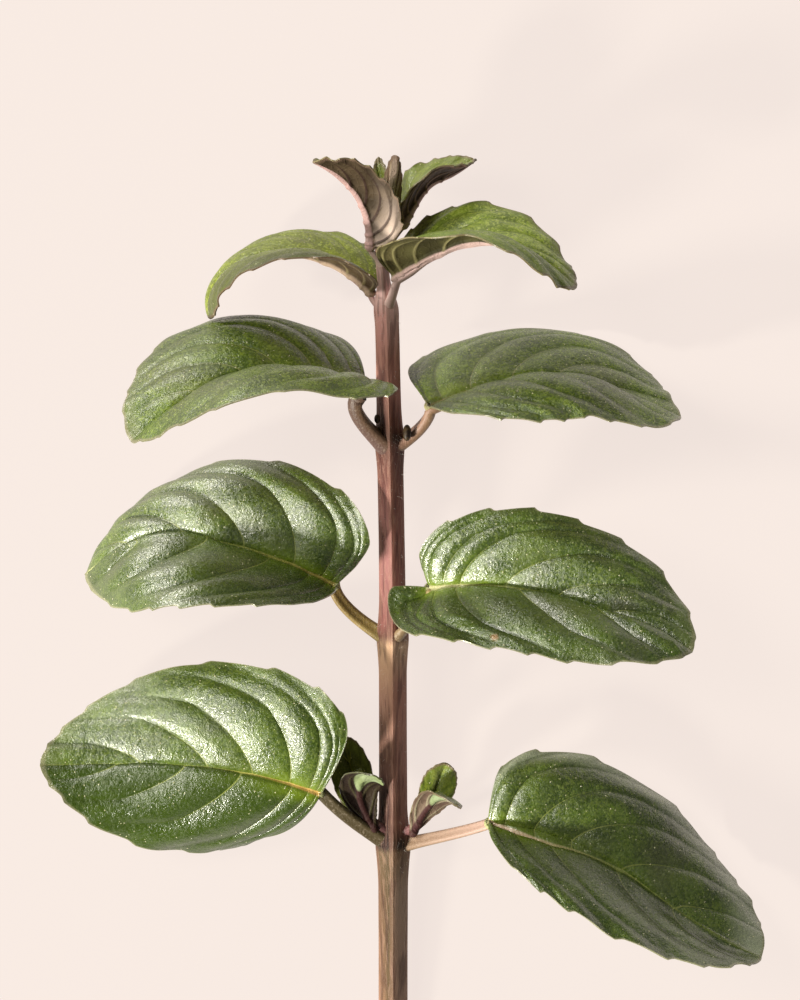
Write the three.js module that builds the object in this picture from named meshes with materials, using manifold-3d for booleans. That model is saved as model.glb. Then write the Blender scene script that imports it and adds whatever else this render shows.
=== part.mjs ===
// A sprig of mint, cut below its lowest pair of leaves and laid on a flat surface.
// Millimetres. +Y runs from the cut end to the tip, +X to the right, +Z up from the surface.
// The stem is square with a corner on top. Pairs of leaves stand across each other on it, and
// each leaf is one solid with its petiole and midrib. Every place below is counted from the
// cut end of the stem, which "cutEnd" sets in the part's frame.
import * as THREE from "three";
import { mergeVertices } from "three/addons/utils/BufferGeometryUtils.js";
import Module from "manifold-3d";

const wasm = await Module();
wasm.setup();

// ---- driving dimensions ----

// The cut end of the stem, from the middle of the sprig's box on the surface.
const cutEnd = [-2.15, -65.75, 0];

// The stem: its axis, and its radius to a corner at each height along it.
const stem = {
  axis: [
    [0.15, 0, 2.2],
    [0.15, 40, 6.6],
    [0, 70, 9.9],
    [-0.5, 95, 12.7],
    [-0.9, 108.5, 14.1],
    [-1.9, 118.5, 15.3],
  ],
  radius: [
    [0, 2.2],
    [12, 2.2],
    [22, 2.25],
    [25.5, 2.5],
    [27.5, 2.75],
    [29.5, 2.5],
    [32.5, 2.15],
    [44, 2.1],
    [54, 2.1],
    [57, 2.3],
    [59, 2.5],
    [61, 2.2],
    [64, 2],
    [74, 1.95],
    [84, 1.95],
    [86.5, 2.15],
    [88.5, 2.3],
    [90.5, 2],
    [93, 1.85],
    [100, 1.8],
    [106, 1.8],
    [108, 1.95],
    [109.5, 1.6],
    [111.5, 1],
    [115, 0.9],
    [118, 0.8],
  ],
  sides: 12,
  squareness: 1.2, // 1 is a sharp square, 2 is round
};

// Small buds in the axils: the middle, the radius and the stretch along the sprig.
const axilBuds = [
  { at: [1.9, 89.6, 12.1], radius: 0.75, stretch: 1.5 },
  { at: [-1.9, 91, 12.6], radius: 0.6, stretch: 1.6 },
  { at: [-1.2, 60.2, 8.6], radius: 0.6, stretch: 1.4 },
];

const clearance = 0.3; // between pieces that meet
const smallestEdge = 0.05; // shorter ones are closed up after the cuts
const bladeThickness = { large: 0.7, small: 0.6 };
const stalkDepth = 0.75; // of its width
const stalkSides = 6;
const ridgeSpan = [0.06, 0.82]; // the share of the midrib with a ridge under it
const [petioleSteps, ridgeSteps] = [6, 5];
const ridgeDepth = 0.4; // how far the ridge's middle lies under the blade, in its widths

// What every blade shares. A blade is measured by u, from its base to its tip along the
// veins, and v, from the midrib to the margin.
const veinSweep = 0.15; // how far a vein runs forward on its way to the margin
const sweepStart = 0.12;
const ribCrowding = 2.5; // veins leave the midrib closer together near its base
const veinArch = 1.9;
const blunt = 0.92; // the base of a large blade
const columnsAcross = { large: [1, 0.75, 0.4], small: [1, 0.5] }; // v, in each half
const toothApex = 0.8; // teeth point forward
const panelRows = [0, 0.4, 0.8]; // how far from one vein to the next the rows of points lie
const steepestMitre = 1.6;
const fading = { base: 0.17, tip: 0.18 }; // teeth and puffs die away towards both ends
const pillowScale = 2.6; // makes a pillow of one stand about a millimetre high
const pillowEnds = 0.08;

// What a leaf is unless its own values say otherwise.
const commonLeaf = {
  size: "large",
  veins: 6,
  drift: 0,
  tooth: 0.45,
  margin: 0,
  base: blunt,
  up: [0, 0, 1],
};

// The leaves. rib: the four points of the midrib's curve. roll: the turn about the midrib, at
// the base and the tip. In each half, fold: the rise from the midrib at the base and the tip,
// curl: the droop towards the margin, lobe: how far the base reaches back, pillow: the bulge
// half way out at the base, the middle and the tip. stalk: the petiole's two handles, and its
// width at the stem, at the blade and at the ridge's end.
const leaves = [
  {
    name: "leaf_1_left",
    side: -1,
    foot: 27.2,
    rib: [
      [-10.75, 35.5, 11.5],
      [-27, 41.75, 15.25],
      [-40.5, 39.75, 7.75],
      [-52.75, 39.75, 10.5],
    ],
    stalk: { handles: [[-3.5, 29.2, 6.8], [-7.8, 32.4, 9.6]], width: [2.5, 2, 0.6] },
    halfWidth: 15.6,
    egg: 0.32,
    point: 1.25,
    roll: [-33, 24],
    tipward: { fold: [10, 9], curl: 44, lobe: 0.11, pillow: [0, -0.7, 0] },
    stemward: { fold: [11, 9], curl: 62, lobe: 0, pillow: [0, 0.5, -0.4] },
    puff: 0.6,
    drift: -0.2,
    colour: "old",
  },
  {
    name: "leaf_1_right",
    side: 1,
    foot: 27.1,
    rib: [
      [14.5, 31.25, 11.5],
      [34, 29.5, 11.5],
      [35.75, 20.25, 9.5],
      [55.5, 10.75, 9],
    ],
    stalk: { handles: [[4, 27.9, 5], [11, 29.6, 9]], width: [2.4, 1.7, 0.6] },
    halfWidth: 13.4,
    egg: 0.05,
    point: 0.95,
    roll: [26, 59],
    tipward: { fold: [35, 25], curl: 31, lobe: 0.1, pillow: [0.1, 1.8, -1.5] },
    stemward: { fold: [34, 27], curl: 44, lobe: 0, pillow: [0.9, -1.8, -1.8] },
    puff: 0.5,
    drift: -0.3,
    colour: "old",
  },
  {
    name: "leaf_2_left",
    side: -1,
    foot: 58.3,
    rib: [
      [-8.5, 66.75, 10.5],
      [-35.75, 81.25, 18.75],
      [-43.75, 70, 9.25],
      [-46.25, 68.25, 6.5],
    ],
    stalk: { handles: [[-3.2, 60, 7.8], [-8.3, 63.6, 9.4]], width: [2.5, 1.9, 0.6] },
    halfWidth: 14.8,
    egg: 0,
    point: 1.3,
    roll: [15, 53],
    tipward: { fold: [66, -9], curl: 62, lobe: 0.15, pillow: [0, -0.6, -0.1] },
    stemward: { fold: [66, -10], curl: 28, lobe: 0, pillow: [-0.3, -1.8, -0.1] },
    puff: 0.6,
    drift: 0.4,
    colour: "old",
  },
  {
    name: "leaf_2_right",
    side: 1,
    foot: 58.5,
    rib: [
      [5.5, 66.5, 14],
      [6, 66, 18],
      [21.25, 70.75, 19.75],
      [44, 57.25, 24.5],
    ],
    stalk: { handles: [[1.8, 60.2, 11.5], [4.6, 63.6, 12]], width: [2.8, 2, 0.6] },
    halfWidth: 12,
    egg: 0.08,
    point: 1.3,
    roll: [16, 36],
    tipward: { fold: [45, 13], curl: 40, lobe: 0.04, pillow: [-0.2, -0.2, -0.3] },
    stemward: { fold: [44, 14], curl: 28, lobe: 0.11, pillow: [-1.8, -0.7, 1.1] },
    puff: 0.6,
    drift: 0.4,
    colour: "old",
  },
  {
    name: "leaf_3_left",
    side: -1,
    foot: 87.3,
    rib: [
      [-4, 96, 17],
      [-20, 101, 23],
      [-24.5, 99, 28],
      [-38, 88, 27],
    ],
    stalk: { handles: [[-2.6, 89.2, 13.8], [-6, 93.4, 15.6]], width: [2.8, 2.2, 0.6] },
    halfWidth: 18,
    egg: 0.3,
    point: 1.2,
    roll: [68, 56],
    tipward: { fold: [25, 35], curl: 53, lobe: 0.05 },
    stemward: { fold: [40, 23], curl: 37, lobe: 0.14 },
    puff: 0.8,
    drift: -0.15,
    colour: "old",
  },
  {
    name: "leaf_3_right",
    side: 1,
    foot: 87.3,
    rib: [
      [5.5, 93.5, 15],
      [31.75, 105.25, 11.75],
      [32.75, 91.25, 15.25],
      [43, 91.75, 15],
    ],
    stalk: { handles: [[2.6, 88.4, 11.2], [5.4, 91, 13]], width: [2.4, 1.8, 0.6] },
    halfWidth: 14.8,
    egg: 0.04,
    point: 1.05,
    roll: [63, 71],
    tipward: { fold: [20, 18], curl: 25, lobe: 0.13, pillow: [0, -0.4, 0.2] },
    stemward: { fold: [20, 18], curl: 49, lobe: 0, pillow: [-0.1, -1, 1.8] },
    puff: 0.45,
    drift: 0.4,
    colour: "old",
  },
  {
    name: "leaf_4_left",
    side: -1,
    foot: 107.6,
    rib: [
      [-3, 110.5, 14],
      [-13.5, 122, 14],
      [-30, 114.5, 14.5],
      [-27, 106.5, 13],
    ],
    stalk: { handles: [[-2.2, 108.3, 13.4], [-3, 109.4, 13.6]], width: [1.6, 1.2, 0.5] },
    halfWidth: 9.5,
    egg: 0.1,
    point: 1.15,
    roll: [68, 73],
    tipward: { fold: [38, -7], curl: 30, lobe: 0 },
    stemward: { fold: [42, 0], curl: 23, lobe: 0.12 },
    puff: 0.4,
    veins: 5,
    colour: "young",
  },
  {
    name: "leaf_4_right",
    side: 1,
    foot: 107.8,
    rib: [
      [0.5, 112.5, 17],
      [8, 117, 22],
      [15.5, 122, 26],
      [27, 110.5, 24],
    ],
    stalk: { handles: [[0, 109.4, 16.2], [0.3, 111, 16.6]], width: [2, 1.7, 0.5] },
    halfWidth: 9.5,
    egg: 0.15,
    point: 1.25,
    roll: [89, 66],
    tipward: { fold: [36, 3], curl: -8, lobe: 0.05 },
    stemward: { fold: [60, 1], curl: 36, lobe: 0.04 },
    puff: 0.4,
    veins: 5,
    colour: "young",
  },
  {
    name: "leaf_5_left",
    side: -1,
    foot: 114.5,
    rib: [
      [-3, 117, 17],
      [-3, 124.5, 19],
      [-7, 127.5, 22],
      [-11.5, 129, 24],
    ],
    stalk: { handles: [[-2.2, 115.6, 15.8], [-2.9, 116.2, 16.5]], width: [1.5, 1.3, 0.5] },
    halfWidth: 6,
    egg: 0.1,
    point: 1.2,
    roll: [112, 96],
    tipward: { fold: [26, 21], curl: 11, lobe: 0.04 },
    stemward: { fold: [39, 18], curl: -5, lobe: 0.02 },
    puff: 0.3,
    veins: 4,
    colour: "young",
  },
  {
    name: "leaf_5_right",
    side: 1,
    foot: 115,
    rib: [
      [1.5, 120.5, 15],
      [6, 129.5, 14],
      [6, 126, 12],
      [12.5, 130.5, 10],
    ],
    stalk: { handles: [[-0.9, 117, 14.4], [0.6, 119, 14.8]], width: [1.4, 1.1, 0.5] },
    halfWidth: 6.5,
    egg: 0.1,
    point: 1.25,
    roll: [95, 72],
    tipward: { fold: [9, 26], curl: -10, lobe: 0.02 },
    stemward: { fold: [19, 16], curl: 16, lobe: 0.04 },
    puff: 0.3,
    veins: 4,
    colour: "young",
  },
];

// What the leaves of a young shoot share. Its front leaf shows its underside, then bends over.
const shootLeaf = { size: "small", veins: 3, puff: 0.2, tooth: 0.15, roll: [-8, -8] };
const bentLeaf = { ...shootLeaf, roll: [0, 0], up: [0, 0.8, -0.6], egg: -0.3, point: 1.1, base: 1.6 };
const bentHalves = {
  tipward: { fold: [12, -10], curl: 5, lobe: 0.03 },
  stemward: { fold: [12, -10], curl: 5, lobe: 0.03 },
};

const shootTaper = 0.4; // of its radius
const shootSteps = 6;

// The two side shoots of the lowest pair, and the bud at the tip: a short stem and two leaves.
const shoots = [
  {
    name: "side_shoot_left",
    path: [
      [0.15, 29.2, 6],
      [-2, 30.3, 6.9],
      [-3, 31.3, 6.8],
      [-3.8, 32.6, 6.4],
    ],
    radius: 0.8,
    cutBy: ["leaf_1_left"],
    leaves: [
      {
        ...shootLeaf,
        side: -1,
        rib: [
          [-3.25, 31, 6.5],
          [-4.75, 33.25, 5.25],
          [-6, 38, 4.5],
          [-7.5, 43.75, 5.5],
        ],
        halfWidth: 3.2,
        egg: -0.05,
        point: 0.95,
        base: 1.7,
        tipward: { fold: [25, 12], curl: 10, lobe: 0.03 },
        stemward: { fold: [25, 12], curl: 10, lobe: 0.03 },
      },
      {
        ...bentLeaf,
        ...bentHalves,
        side: 1,
        rib: [
          [-2.5, 30, 7.3],
          [-4.75, 32.5, 7.5],
          [-7, 40, 10],
          [-1.5, 38, 16],
        ],
        halfWidth: 2.9,
      },
    ],
    colour: "young",
  },
  {
    name: "side_shoot_right",
    path: [
      [0.15, 29, 5.6],
      [2.4, 29.6, 6.2],
      [3.8, 30.6, 6.4],
      [5.2, 32.2, 6.3],
    ],
    radius: 0.8,
    cutBy: ["leaf_1_right"],
    leaves: [
      {
        ...shootLeaf,
        side: 1,
        rib: [
          [5, 31.5, 6.5],
          [5.75, 33.75, 5.5],
          [7, 36.25, 6],
          [8, 40, 9.5],
        ],
        halfWidth: 2.7,
        egg: -0.1,
        point: 0.95,
        base: 1.5,
        tipward: { fold: [28, 15], curl: 10, lobe: 0.03 },
        stemward: { fold: [28, 15], curl: 10, lobe: 0.03 },
      },
      {
        ...bentLeaf,
        ...bentHalves,
        side: 1,
        rib: [
          [3, 29.25, 6.9],
          [4.25, 31.5, 7.4],
          [6.75, 38, 9],
          [9.75, 34, 15.5],
        ],
        halfWidth: 2.6,
      },
    ],
    colour: "young",
  },
  {
    name: "tip_bud",
    path: [
      [-1.7, 116.5, 15.2],
      [-1.2, 118.4, 15.8],
      [-0.6, 120, 16.4],
      [-0.5, 122.5, 16.6],
    ],
    radius: 1,
    cutBy: ["leaf_5_left", "leaf_5_right"],
    leaves: [
      {
        ...shootLeaf,
        side: -1,
        rib: [
          [-0.5, 118.75, 15.5],
          [-1.25, 123.5, 14.5],
          [-1.75, 127, 13.5],
          [-2, 130.75, 12],
        ],
        roll: [0, 0],
        halfWidth: 1.5,
        egg: 0.15,
        point: 1.2,
        base: 1.1,
        tipward: { fold: [30, 20], curl: 10, lobe: 0.03 },
        stemward: { fold: [30, 20], curl: 10, lobe: 0.03 },
      },
      {
        ...shootLeaf,
        side: 1,
        rib: [
          [-0.75, 118.4, 16.9],
          [-0.5, 123, 18.5],
          [0.25, 127, 19.5],
          [0.5, 130.5, 17.5],
        ],
        roll: [180, 180],
        halfWidth: 1.6,
        egg: 0.15,
        point: 0.9,
        base: 1.1,
        tipward: { fold: [30, 20], curl: 10, lobe: 0.03 },
        stemward: { fold: [30, 20], curl: 10, lobe: 0.03 },
      },
    ],
    colour: "young",
  },
];

const colours = {
  stem: { color: 0x7a5450, roughness: 0.55, metalness: 0 },
  old: { color: 0x4d6b34, roughness: 0.45, metalness: 0 },
  young: { color: 0x7f9c45, roughness: 0.5, metalness: 0 },
};

// ---- helpers ----

const vector = (place) => new THREE.Vector3(...place);
const mix = (ends, t) => ends[0] + (ends[1] - ends[0]) * t;
const radians = THREE.MathUtils.degToRad;

// Reads off the value at a place from a list of [place, value] pairs.
function valueAt(pairs, place) {
  const next = pairs.findIndex((pair) => pair[0] > place);
  if (next < 0) return pairs.at(-1)[1];
  const [before, after] = [pairs[Math.max(next - 1, 0)], pairs[next]];
  return mix([before[1], after[1]], (place - before[0]) / (after[0] - before[0] || 1));
}

// Makes a solid from a list of triangle corners. Nothing reaches below the surface.
function solidFrom(corners) {
  const positions = corners.flatMap((p) => [p.x, p.y, Math.max(p.z, 0)]);
  const loose = new THREE.BufferGeometry();
  loose.setAttribute("position", new THREE.Float32BufferAttribute(positions, 3));
  const merged = mergeVertices(loose, 1e-4);
  const index = merged.index.array;
  const kept = [];
  for (let i = 0; i < index.length; i += 3) {
    const [a, b, c] = [index[i], index[i + 1], index[i + 2]];
    if (a !== b && b !== c && c !== a) kept.push(a, b, c);
  }
  const make = (triangles) => {
    const vertProperties = new Float32Array(merged.attributes.position.array);
    const triVerts = new Uint32Array(triangles);
    return new wasm.Manifold(new wasm.Mesh({ numProp: 3, vertProperties, triVerts }));
  };
  const solid = make(kept);
  return solid.volume() > 0 ? solid : make(kept.reverse());
}

// A closed body through a row of rings that have the same number of points.
function loft(rings) {
  const corners = [];
  const count = rings[0].length;
  for (let i = 0; i + 1 < rings.length; i++) {
    for (let j = 0; j < count; j++) {
      const k = (j + 1) % count;
      corners.push(rings[i][j], rings[i][k], rings[i + 1][k]);
      corners.push(rings[i][j], rings[i + 1][k], rings[i + 1][j]);
    }
  }
  for (const [ring, first] of [[rings[0], true], [rings.at(-1), false]]) {
    for (let j = 1; j + 1 < count; j++) {
      corners.push(ring[0], ...(first ? [ring[j + 1], ring[j]] : [ring[j], ring[j + 1]]));
    }
  }
  return solidFrom(corners);
}

// A thin closed body between two grids of points, split alike on both faces.
function slab(top, bottom) {
  const corners = [];
  const last = top[0].length - 1;
  for (let i = 0; i + 1 < top.length; i++) {
    for (let j = 0; j < last; j++) {
      corners.push(top[i][j], top[i + 1][j], top[i + 1][j + 1]);
      corners.push(top[i][j], top[i + 1][j + 1], top[i][j + 1]);
      corners.push(bottom[i][j], bottom[i + 1][j + 1], bottom[i + 1][j]);
      corners.push(bottom[i][j], bottom[i][j + 1], bottom[i + 1][j + 1]);
    }
    corners.push(top[i][0], bottom[i][0], bottom[i + 1][0]);
    corners.push(top[i][0], bottom[i + 1][0], top[i + 1][0]);
    corners.push(top[i][last], bottom[i + 1][last], bottom[i][last]);
    corners.push(top[i][last], top[i + 1][last], bottom[i + 1][last]);
  }
  return solidFrom(corners);
}

// ---- the stem ----

const stemAxis = new THREE.CatmullRomCurve3(stem.axis.map(vector));

function axisAt(height) {
  const [low, high] = [stem.axis[0][1], stem.axis.at(-1)[1]];
  let [near, far] = [0, 1];
  for (let step = 0; step < 24; step++) {
    const middle = (near + far) / 2;
    if (stemAxis.getPoint(middle).y < Math.min(Math.max(height, low), high)) near = middle;
    else far = middle;
  }
  return stemAxis.getPoint(near);
}

// A square with rounded corners, one of them on top.
function stemRing(height, grow) {
  const centre = axisAt(height);
  const corner = valueAt(stem.radius, height) + grow;
  return Array.from({ length: stem.sides }, (_, k) => {
    const turn = (2 * Math.PI * k) / stem.sides;
    const [across, up] = [Math.cos(turn), Math.sin(turn)];
    const power = stem.squareness;
    const reach = corner / (Math.abs(across) ** power + Math.abs(up) ** power) ** (1 / power);
    return new THREE.Vector3(centre.x + reach * across, height, centre.z + reach * up);
  });
}

function axilBud(bud, grow) {
  const geometry = new THREE.SphereGeometry(bud.radius + grow, 8, 6);
  geometry.scale(1, bud.stretch, 1);
  geometry.translate(...bud.at);
  const points = geometry.toNonIndexed().attributes.position;
  const corners = Array.from({ length: points.count }, (_, i) => {
    return new THREE.Vector3().fromBufferAttribute(points, i);
  });
  return solidFrom(corners);
}

function stemSolid(grow = 0) {
  const rings = stem.radius.map(([height]) => stemRing(height, grow));
  rings.at(-1).forEach((point) => (point.y += grow));
  const body = loft(rings);
  return axilBuds.reduce((joined, bud) => joined.add(axilBud(bud, grow)), body);
}

// ---- the leaves ----

// The midrib's curve and its length, worked out once for each leaf.
function withRib(leaf) {
  const rib = new THREE.CubicBezierCurve3(...leaf.rib.map(vector));
  return { ...commonLeaf, ...leaf, curve: rib, length: rib.getLength() };
}

// A point of the midrib with the blade's facing direction and its direction across.
function ribFrame(leaf, distance) {
  const t = Math.min(Math.max(distance / leaf.length, 0), 1);
  const along = leaf.curve.getTangentAt(t);
  const point = leaf.curve.getPointAt(t).addScaledVector(along, distance - t * leaf.length);
  const up = vector(leaf.up);
  const facing = up.addScaledVector(along, -along.dot(up)).normalize();
  const across = facing.clone().cross(along).multiplyScalar(leaf.side);
  const roll = radians(mix(leaf.roll, t));
  return {
    t,
    point,
    along,
    facing: facing.clone().multiplyScalar(Math.cos(roll)).addScaledVector(across, Math.sin(roll)),
    across: across.multiplyScalar(Math.cos(roll)).addScaledVector(facing, -Math.sin(roll)),
  };
}

// Counts the veins passed on the way from the base to the tip.
function veinCount(leaf, u) {
  return u * (leaf.veins + 1) + leaf.drift * Math.sin(Math.PI * u);
}

function fadeAt(u) {
  return Math.min(1, u / fading.base) * Math.min(1, (1 - u) / fading.tip);
}

// How far a tooth stands out of the margin.
function toothAt(leaf, u) {
  const phase = veinCount(leaf, u) % 1;
  const rise = phase < toothApex ? phase / toothApex : (1 - phase) / (1 - toothApex);
  return leaf.tooth * rise * fadeAt(u);
}

// How far the blade is puffed up between its veins.
function puffAt(leaf, u, v) {
  const phase = veinCount(leaf, u) % 1;
  return leaf.puff * fadeAt(u) * Math.sin(Math.PI * phase) * Math.sqrt(v) * (1 - v ** 4);
}

// How far a half bulges, or sags where it is below zero, between the midrib and the margin.
function pillowAt(leaf, half, u, v) {
  const [low, middle, high] = leaf[half].pillow ?? [0, 0, 0];
  const amount = low * (1 - u) ** 2 + 3 * middle * u * (1 - u) + high * u ** 2;
  const ends = Math.min(1, u / pillowEnds) * Math.min(1, (1 - u) / pillowEnds);
  return pillowScale * v ** 0.7 * (1 - v) * amount * ends;
}

// A point in the middle of the blade's thickness, and which way the upper side faces there.
function bladePoint(leaf, half, u, v) {
  const a = u + veinSweep * (1 - u) * Math.min(1, u / sweepStart) * v * v;
  const turn = Math.PI * a;
  const [sine, cosine] = [Math.sin(turn), Math.cos(turn)];
  const { fold, curl, lobe } = leaf[half];
  const back = lobe * leaf.length * Math.sin(Math.min(turn * 1.6, Math.PI)) ** 2;
  const bulge = Math.abs(sine) ** (a < 0.5 ? leaf.base : leaf.point);
  const grown = leaf.margin * Math.min(1, 5 * bulge);
  const marginX = (leaf.length * (1 - cosine)) / 2 - back - grown * cosine;
  const marginY = leaf.halfWidth * bulge * (1 + leaf.egg * cosine) + grown * sine;
  const ribX = leaf.length * a ** ribCrowding;
  const { t, point, facing, across } = ribFrame(leaf, ribX + (marginX - ribX) * v ** veinArch);
  const tooth = v === 1 ? toothAt(leaf, u) : 0;
  const out = (marginY + tooth) * v;
  const rise = radians(mix(fold, t));
  if (out < 1e-6) {
    const valley = radians((mix(leaf.tipward.fold, t) + mix(leaf.stemward.fold, t)) / 2);
    return { point, normal: facing.multiplyScalar(Math.min(1 / Math.cos(valley), steepestMitre)) };
  }
  const bend = radians(curl);
  const slope = rise - (bend * out) / leaf.halfWidth;
  const radius = leaf.halfWidth / bend;
  const sign = half === "tipward" ? 1 : -1;
  point.addScaledVector(across, sign * radius * (Math.sin(rise) - Math.sin(slope)));
  point.addScaledVector(facing, radius * (Math.cos(slope) - Math.cos(rise)));
  const normal = facing.multiplyScalar(Math.cos(slope));
  normal.addScaledVector(across, -sign * Math.sin(slope));
  point.addScaledVector(normal, puffAt(leaf, u, v) + pillowAt(leaf, half, u, v));
  return { point, normal };
}

// Where a row of points starts so that it lies on a vein or a tooth.
function rowAt(leaf, count) {
  let u = count / (leaf.veins + 1);
  for (let step = 0; step < 12; step++) {
    u = (count - leaf.drift * Math.sin(Math.PI * u)) / (leaf.veins + 1);
  }
  return u;
}

function bladeSolid(leaf, thickness) {
  const rows = [];
  for (let panel = 0; panel <= leaf.veins; panel++) {
    rows.push(...panelRows.map((step) => rowAt(leaf, panel + step)));
  }
  rows.push(1);
  const across = columnsAcross[leaf.size];
  const columns = [
    ...across.map((v) => ["tipward", v]),
    ["tipward", 0],
    ...across.toReversed().map((v) => ["stemward", v]),
  ];
  const middle = rows.map((u) => columns.map(([half, v]) => bladePoint(leaf, half, u, v)));
  const face = (offset) => {
    return middle.map((row, i) => {
      const reach = i === 0 ? 0 : offset; // the base runs out inside the petiole
      return row.map((p) => p.point.clone().addScaledVector(p.normal, reach));
    });
  };
  return slab(face(thickness / 2), face(-thickness / 2));
}

// An oval ring about a point of a stalk, flat on its upper side.
function stalkRing(centre, along, facing, width) {
  const up = facing.clone().addScaledVector(along, -along.dot(facing)).normalize();
  const across = up.clone().cross(along);
  return Array.from({ length: stalkSides }, (_, k) => {
    const turn = (2 * Math.PI * k) / stalkSides;
    return centre
      .clone()
      .addScaledVector(across, (width / 2) * Math.cos(turn))
      .addScaledVector(up, (width / 2) * stalkDepth * Math.sin(turn));
  });
}

// The petiole, and the midrib's ridge under the blade.
function stalkSolid(leaf, grow) {
  const [join, ridgeEnd] = ridgeSpan;
  const start = ribFrame(leaf, leaf.length * join);
  const handles = leaf.stalk.handles.map(vector);
  const petiole = new THREE.CubicBezierCurve3(axisAt(leaf.foot), ...handles, start.point);
  const rings = [];
  const [atStem, atBlade, atEnd] = leaf.stalk.width.map((width) => width + 2 * grow);
  for (let i = 0; i < petioleSteps; i++) {
    const t = i / petioleSteps;
    const width = mix([atStem, atBlade], Math.sqrt(t));
    rings.push(stalkRing(petiole.getPoint(t), petiole.getTangent(t), start.facing, width));
  }
  for (let i = 0; i <= ridgeSteps; i++) {
    const t = i / ridgeSteps;
    const { point, along, facing } = ribFrame(leaf, leaf.length * mix([join, ridgeEnd], t));
    const width = mix([atBlade, atEnd], Math.sqrt(t));
    point.addScaledVector(facing, -ridgeDepth * width * Math.min(1, 3 * t));
    rings.push(stalkRing(point, along, facing, width));
  }
  return loft(rings);
}

function leafSolid(leaf, grow = 0) {
  const thickness = leaf.halfWidth > 8 ? bladeThickness.large : bladeThickness.small;
  const blade = bladeSolid({ ...leaf, margin: grow }, thickness + 2 * grow);
  return blade.add(stalkSolid(leaf, grow));
}

// ---- the side shoots and the tip bud ----

function shootSolid(shoot) {
  const path = new THREE.CatmullRomCurve3(shoot.path.map(vector));
  const rings = [];
  const up = new THREE.Vector3(0, 0, 1);
  for (let i = 0; i <= shootSteps; i++) {
    const t = i / shootSteps;
    const width = 2 * shoot.radius * (1 - shootTaper * t);
    rings.push(stalkRing(path.getPoint(t), path.getTangent(t), up, width));
  }
  return shoot.leaves.reduce((joined, leaf) => {
    return joined.add(bladeSolid(withRib(leaf), bladeThickness.small));
  }, loft(rings));
}

// ---- the sprig ----

const sprig = new THREE.Group();
sprig.position.set(...cutEnd);

function addPiece(name, solid, colour) {
  const [body] = solid.decompose().sort((a, b) => b.volume() - a.volume()); // no loose scraps
  const { vertProperties, triVerts } = body.simplify(smallestEdge).getMesh();
  const geometry = new THREE.BufferGeometry();
  geometry.setAttribute("position", new THREE.BufferAttribute(vertProperties, 3));
  geometry.setIndex(new THREE.BufferAttribute(triVerts, 1));
  geometry.computeVertexNormals();
  const material = new THREE.MeshStandardMaterial({ ...colours[colour], flatShading: true });
  const mesh = new THREE.Mesh(geometry, material);
  mesh.name = name;
  sprig.add(mesh);
}

addPiece("main_stem", stemSolid(), "stem");
const cleared = { main_stem: stemSolid(clearance) };

for (const leaf of leaves.map(withRib)) {
  addPiece(leaf.name, leafSolid(leaf).subtract(cleared.main_stem), leaf.colour);
  cleared[leaf.name] = leafSolid(leaf, clearance);
}

for (const shoot of shoots) {
  const cutters = ["main_stem", ...shoot.cutBy];
  const solid = cutters.reduce((left, name) => left.subtract(cleared[name]), shootSolid(shoot));
  addPiece(shoot.name, solid, shoot.colour);
}

export default sprig;
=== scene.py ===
# A cut sprig of mint lying on a pale floor, looked at from straight above.
# The values of the leaves and stems are in millimetres from the cut end of the stem.
import math
import random
import bpy
import numpy as np
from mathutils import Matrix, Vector


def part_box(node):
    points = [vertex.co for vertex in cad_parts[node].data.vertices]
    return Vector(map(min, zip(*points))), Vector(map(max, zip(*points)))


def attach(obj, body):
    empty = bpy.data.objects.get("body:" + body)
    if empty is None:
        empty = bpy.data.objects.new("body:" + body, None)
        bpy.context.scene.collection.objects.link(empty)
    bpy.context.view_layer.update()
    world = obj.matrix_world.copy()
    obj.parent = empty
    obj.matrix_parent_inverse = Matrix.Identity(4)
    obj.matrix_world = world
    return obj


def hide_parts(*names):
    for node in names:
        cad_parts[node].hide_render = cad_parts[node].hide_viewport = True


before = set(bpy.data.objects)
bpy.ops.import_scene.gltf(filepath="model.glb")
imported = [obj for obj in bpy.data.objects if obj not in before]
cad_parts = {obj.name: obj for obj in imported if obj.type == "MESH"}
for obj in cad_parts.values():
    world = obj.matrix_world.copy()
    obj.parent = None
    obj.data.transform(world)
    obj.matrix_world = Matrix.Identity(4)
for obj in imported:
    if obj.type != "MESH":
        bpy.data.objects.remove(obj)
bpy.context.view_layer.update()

mm = 0.001
cutEnd = np.array([-2.15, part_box("main_stem")[0].y / mm, 0.0])  # its place in the frame


def toMetres(points):
    return (np.asarray(points) + cutEnd) * mm


# camera, floor and light
view = dict(aim=(1.2, 79.5, 10.0), distance=600.0, lens=144.0, sensor=36.0, clipStart=0.01)
floor = dict(
    size=6.0, colour=(0.06, 0.055, 0.05), roughness=0.8, shine=0.1, glowColour=(0.85, 0.75, 0.7), glow=1.0,
)
sky = dict(colour=(1.0, 0.98, 0.97), strength=0.07)
lamps = dict(  # azimuth from +X and height above the floor in degrees, size in metres
    keyLight=dict(azimuth=-144, height=30, size=0.35, power=98.0),
    backLight=dict(azimuth=120, height=9, size=1.0, power=36.0),
    fillLight=dict(azimuth=160, height=50, size=1.0, power=38.0),
)
lampDistance = 2.5
lampColour = (1.0, 0.96, 0.86)


def addCamera():
    bpy.ops.object.camera_add(location=toMetres(view["aim"]) + np.array([0, 0, view["distance"] * mm]))
    camera = bpy.context.object
    camera.name = "viewCamera"
    camera.data.lens = view["lens"]
    camera.data.sensor_width = view["sensor"]
    camera.data.clip_start = view["clipStart"]
    bpy.context.scene.camera = camera


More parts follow.
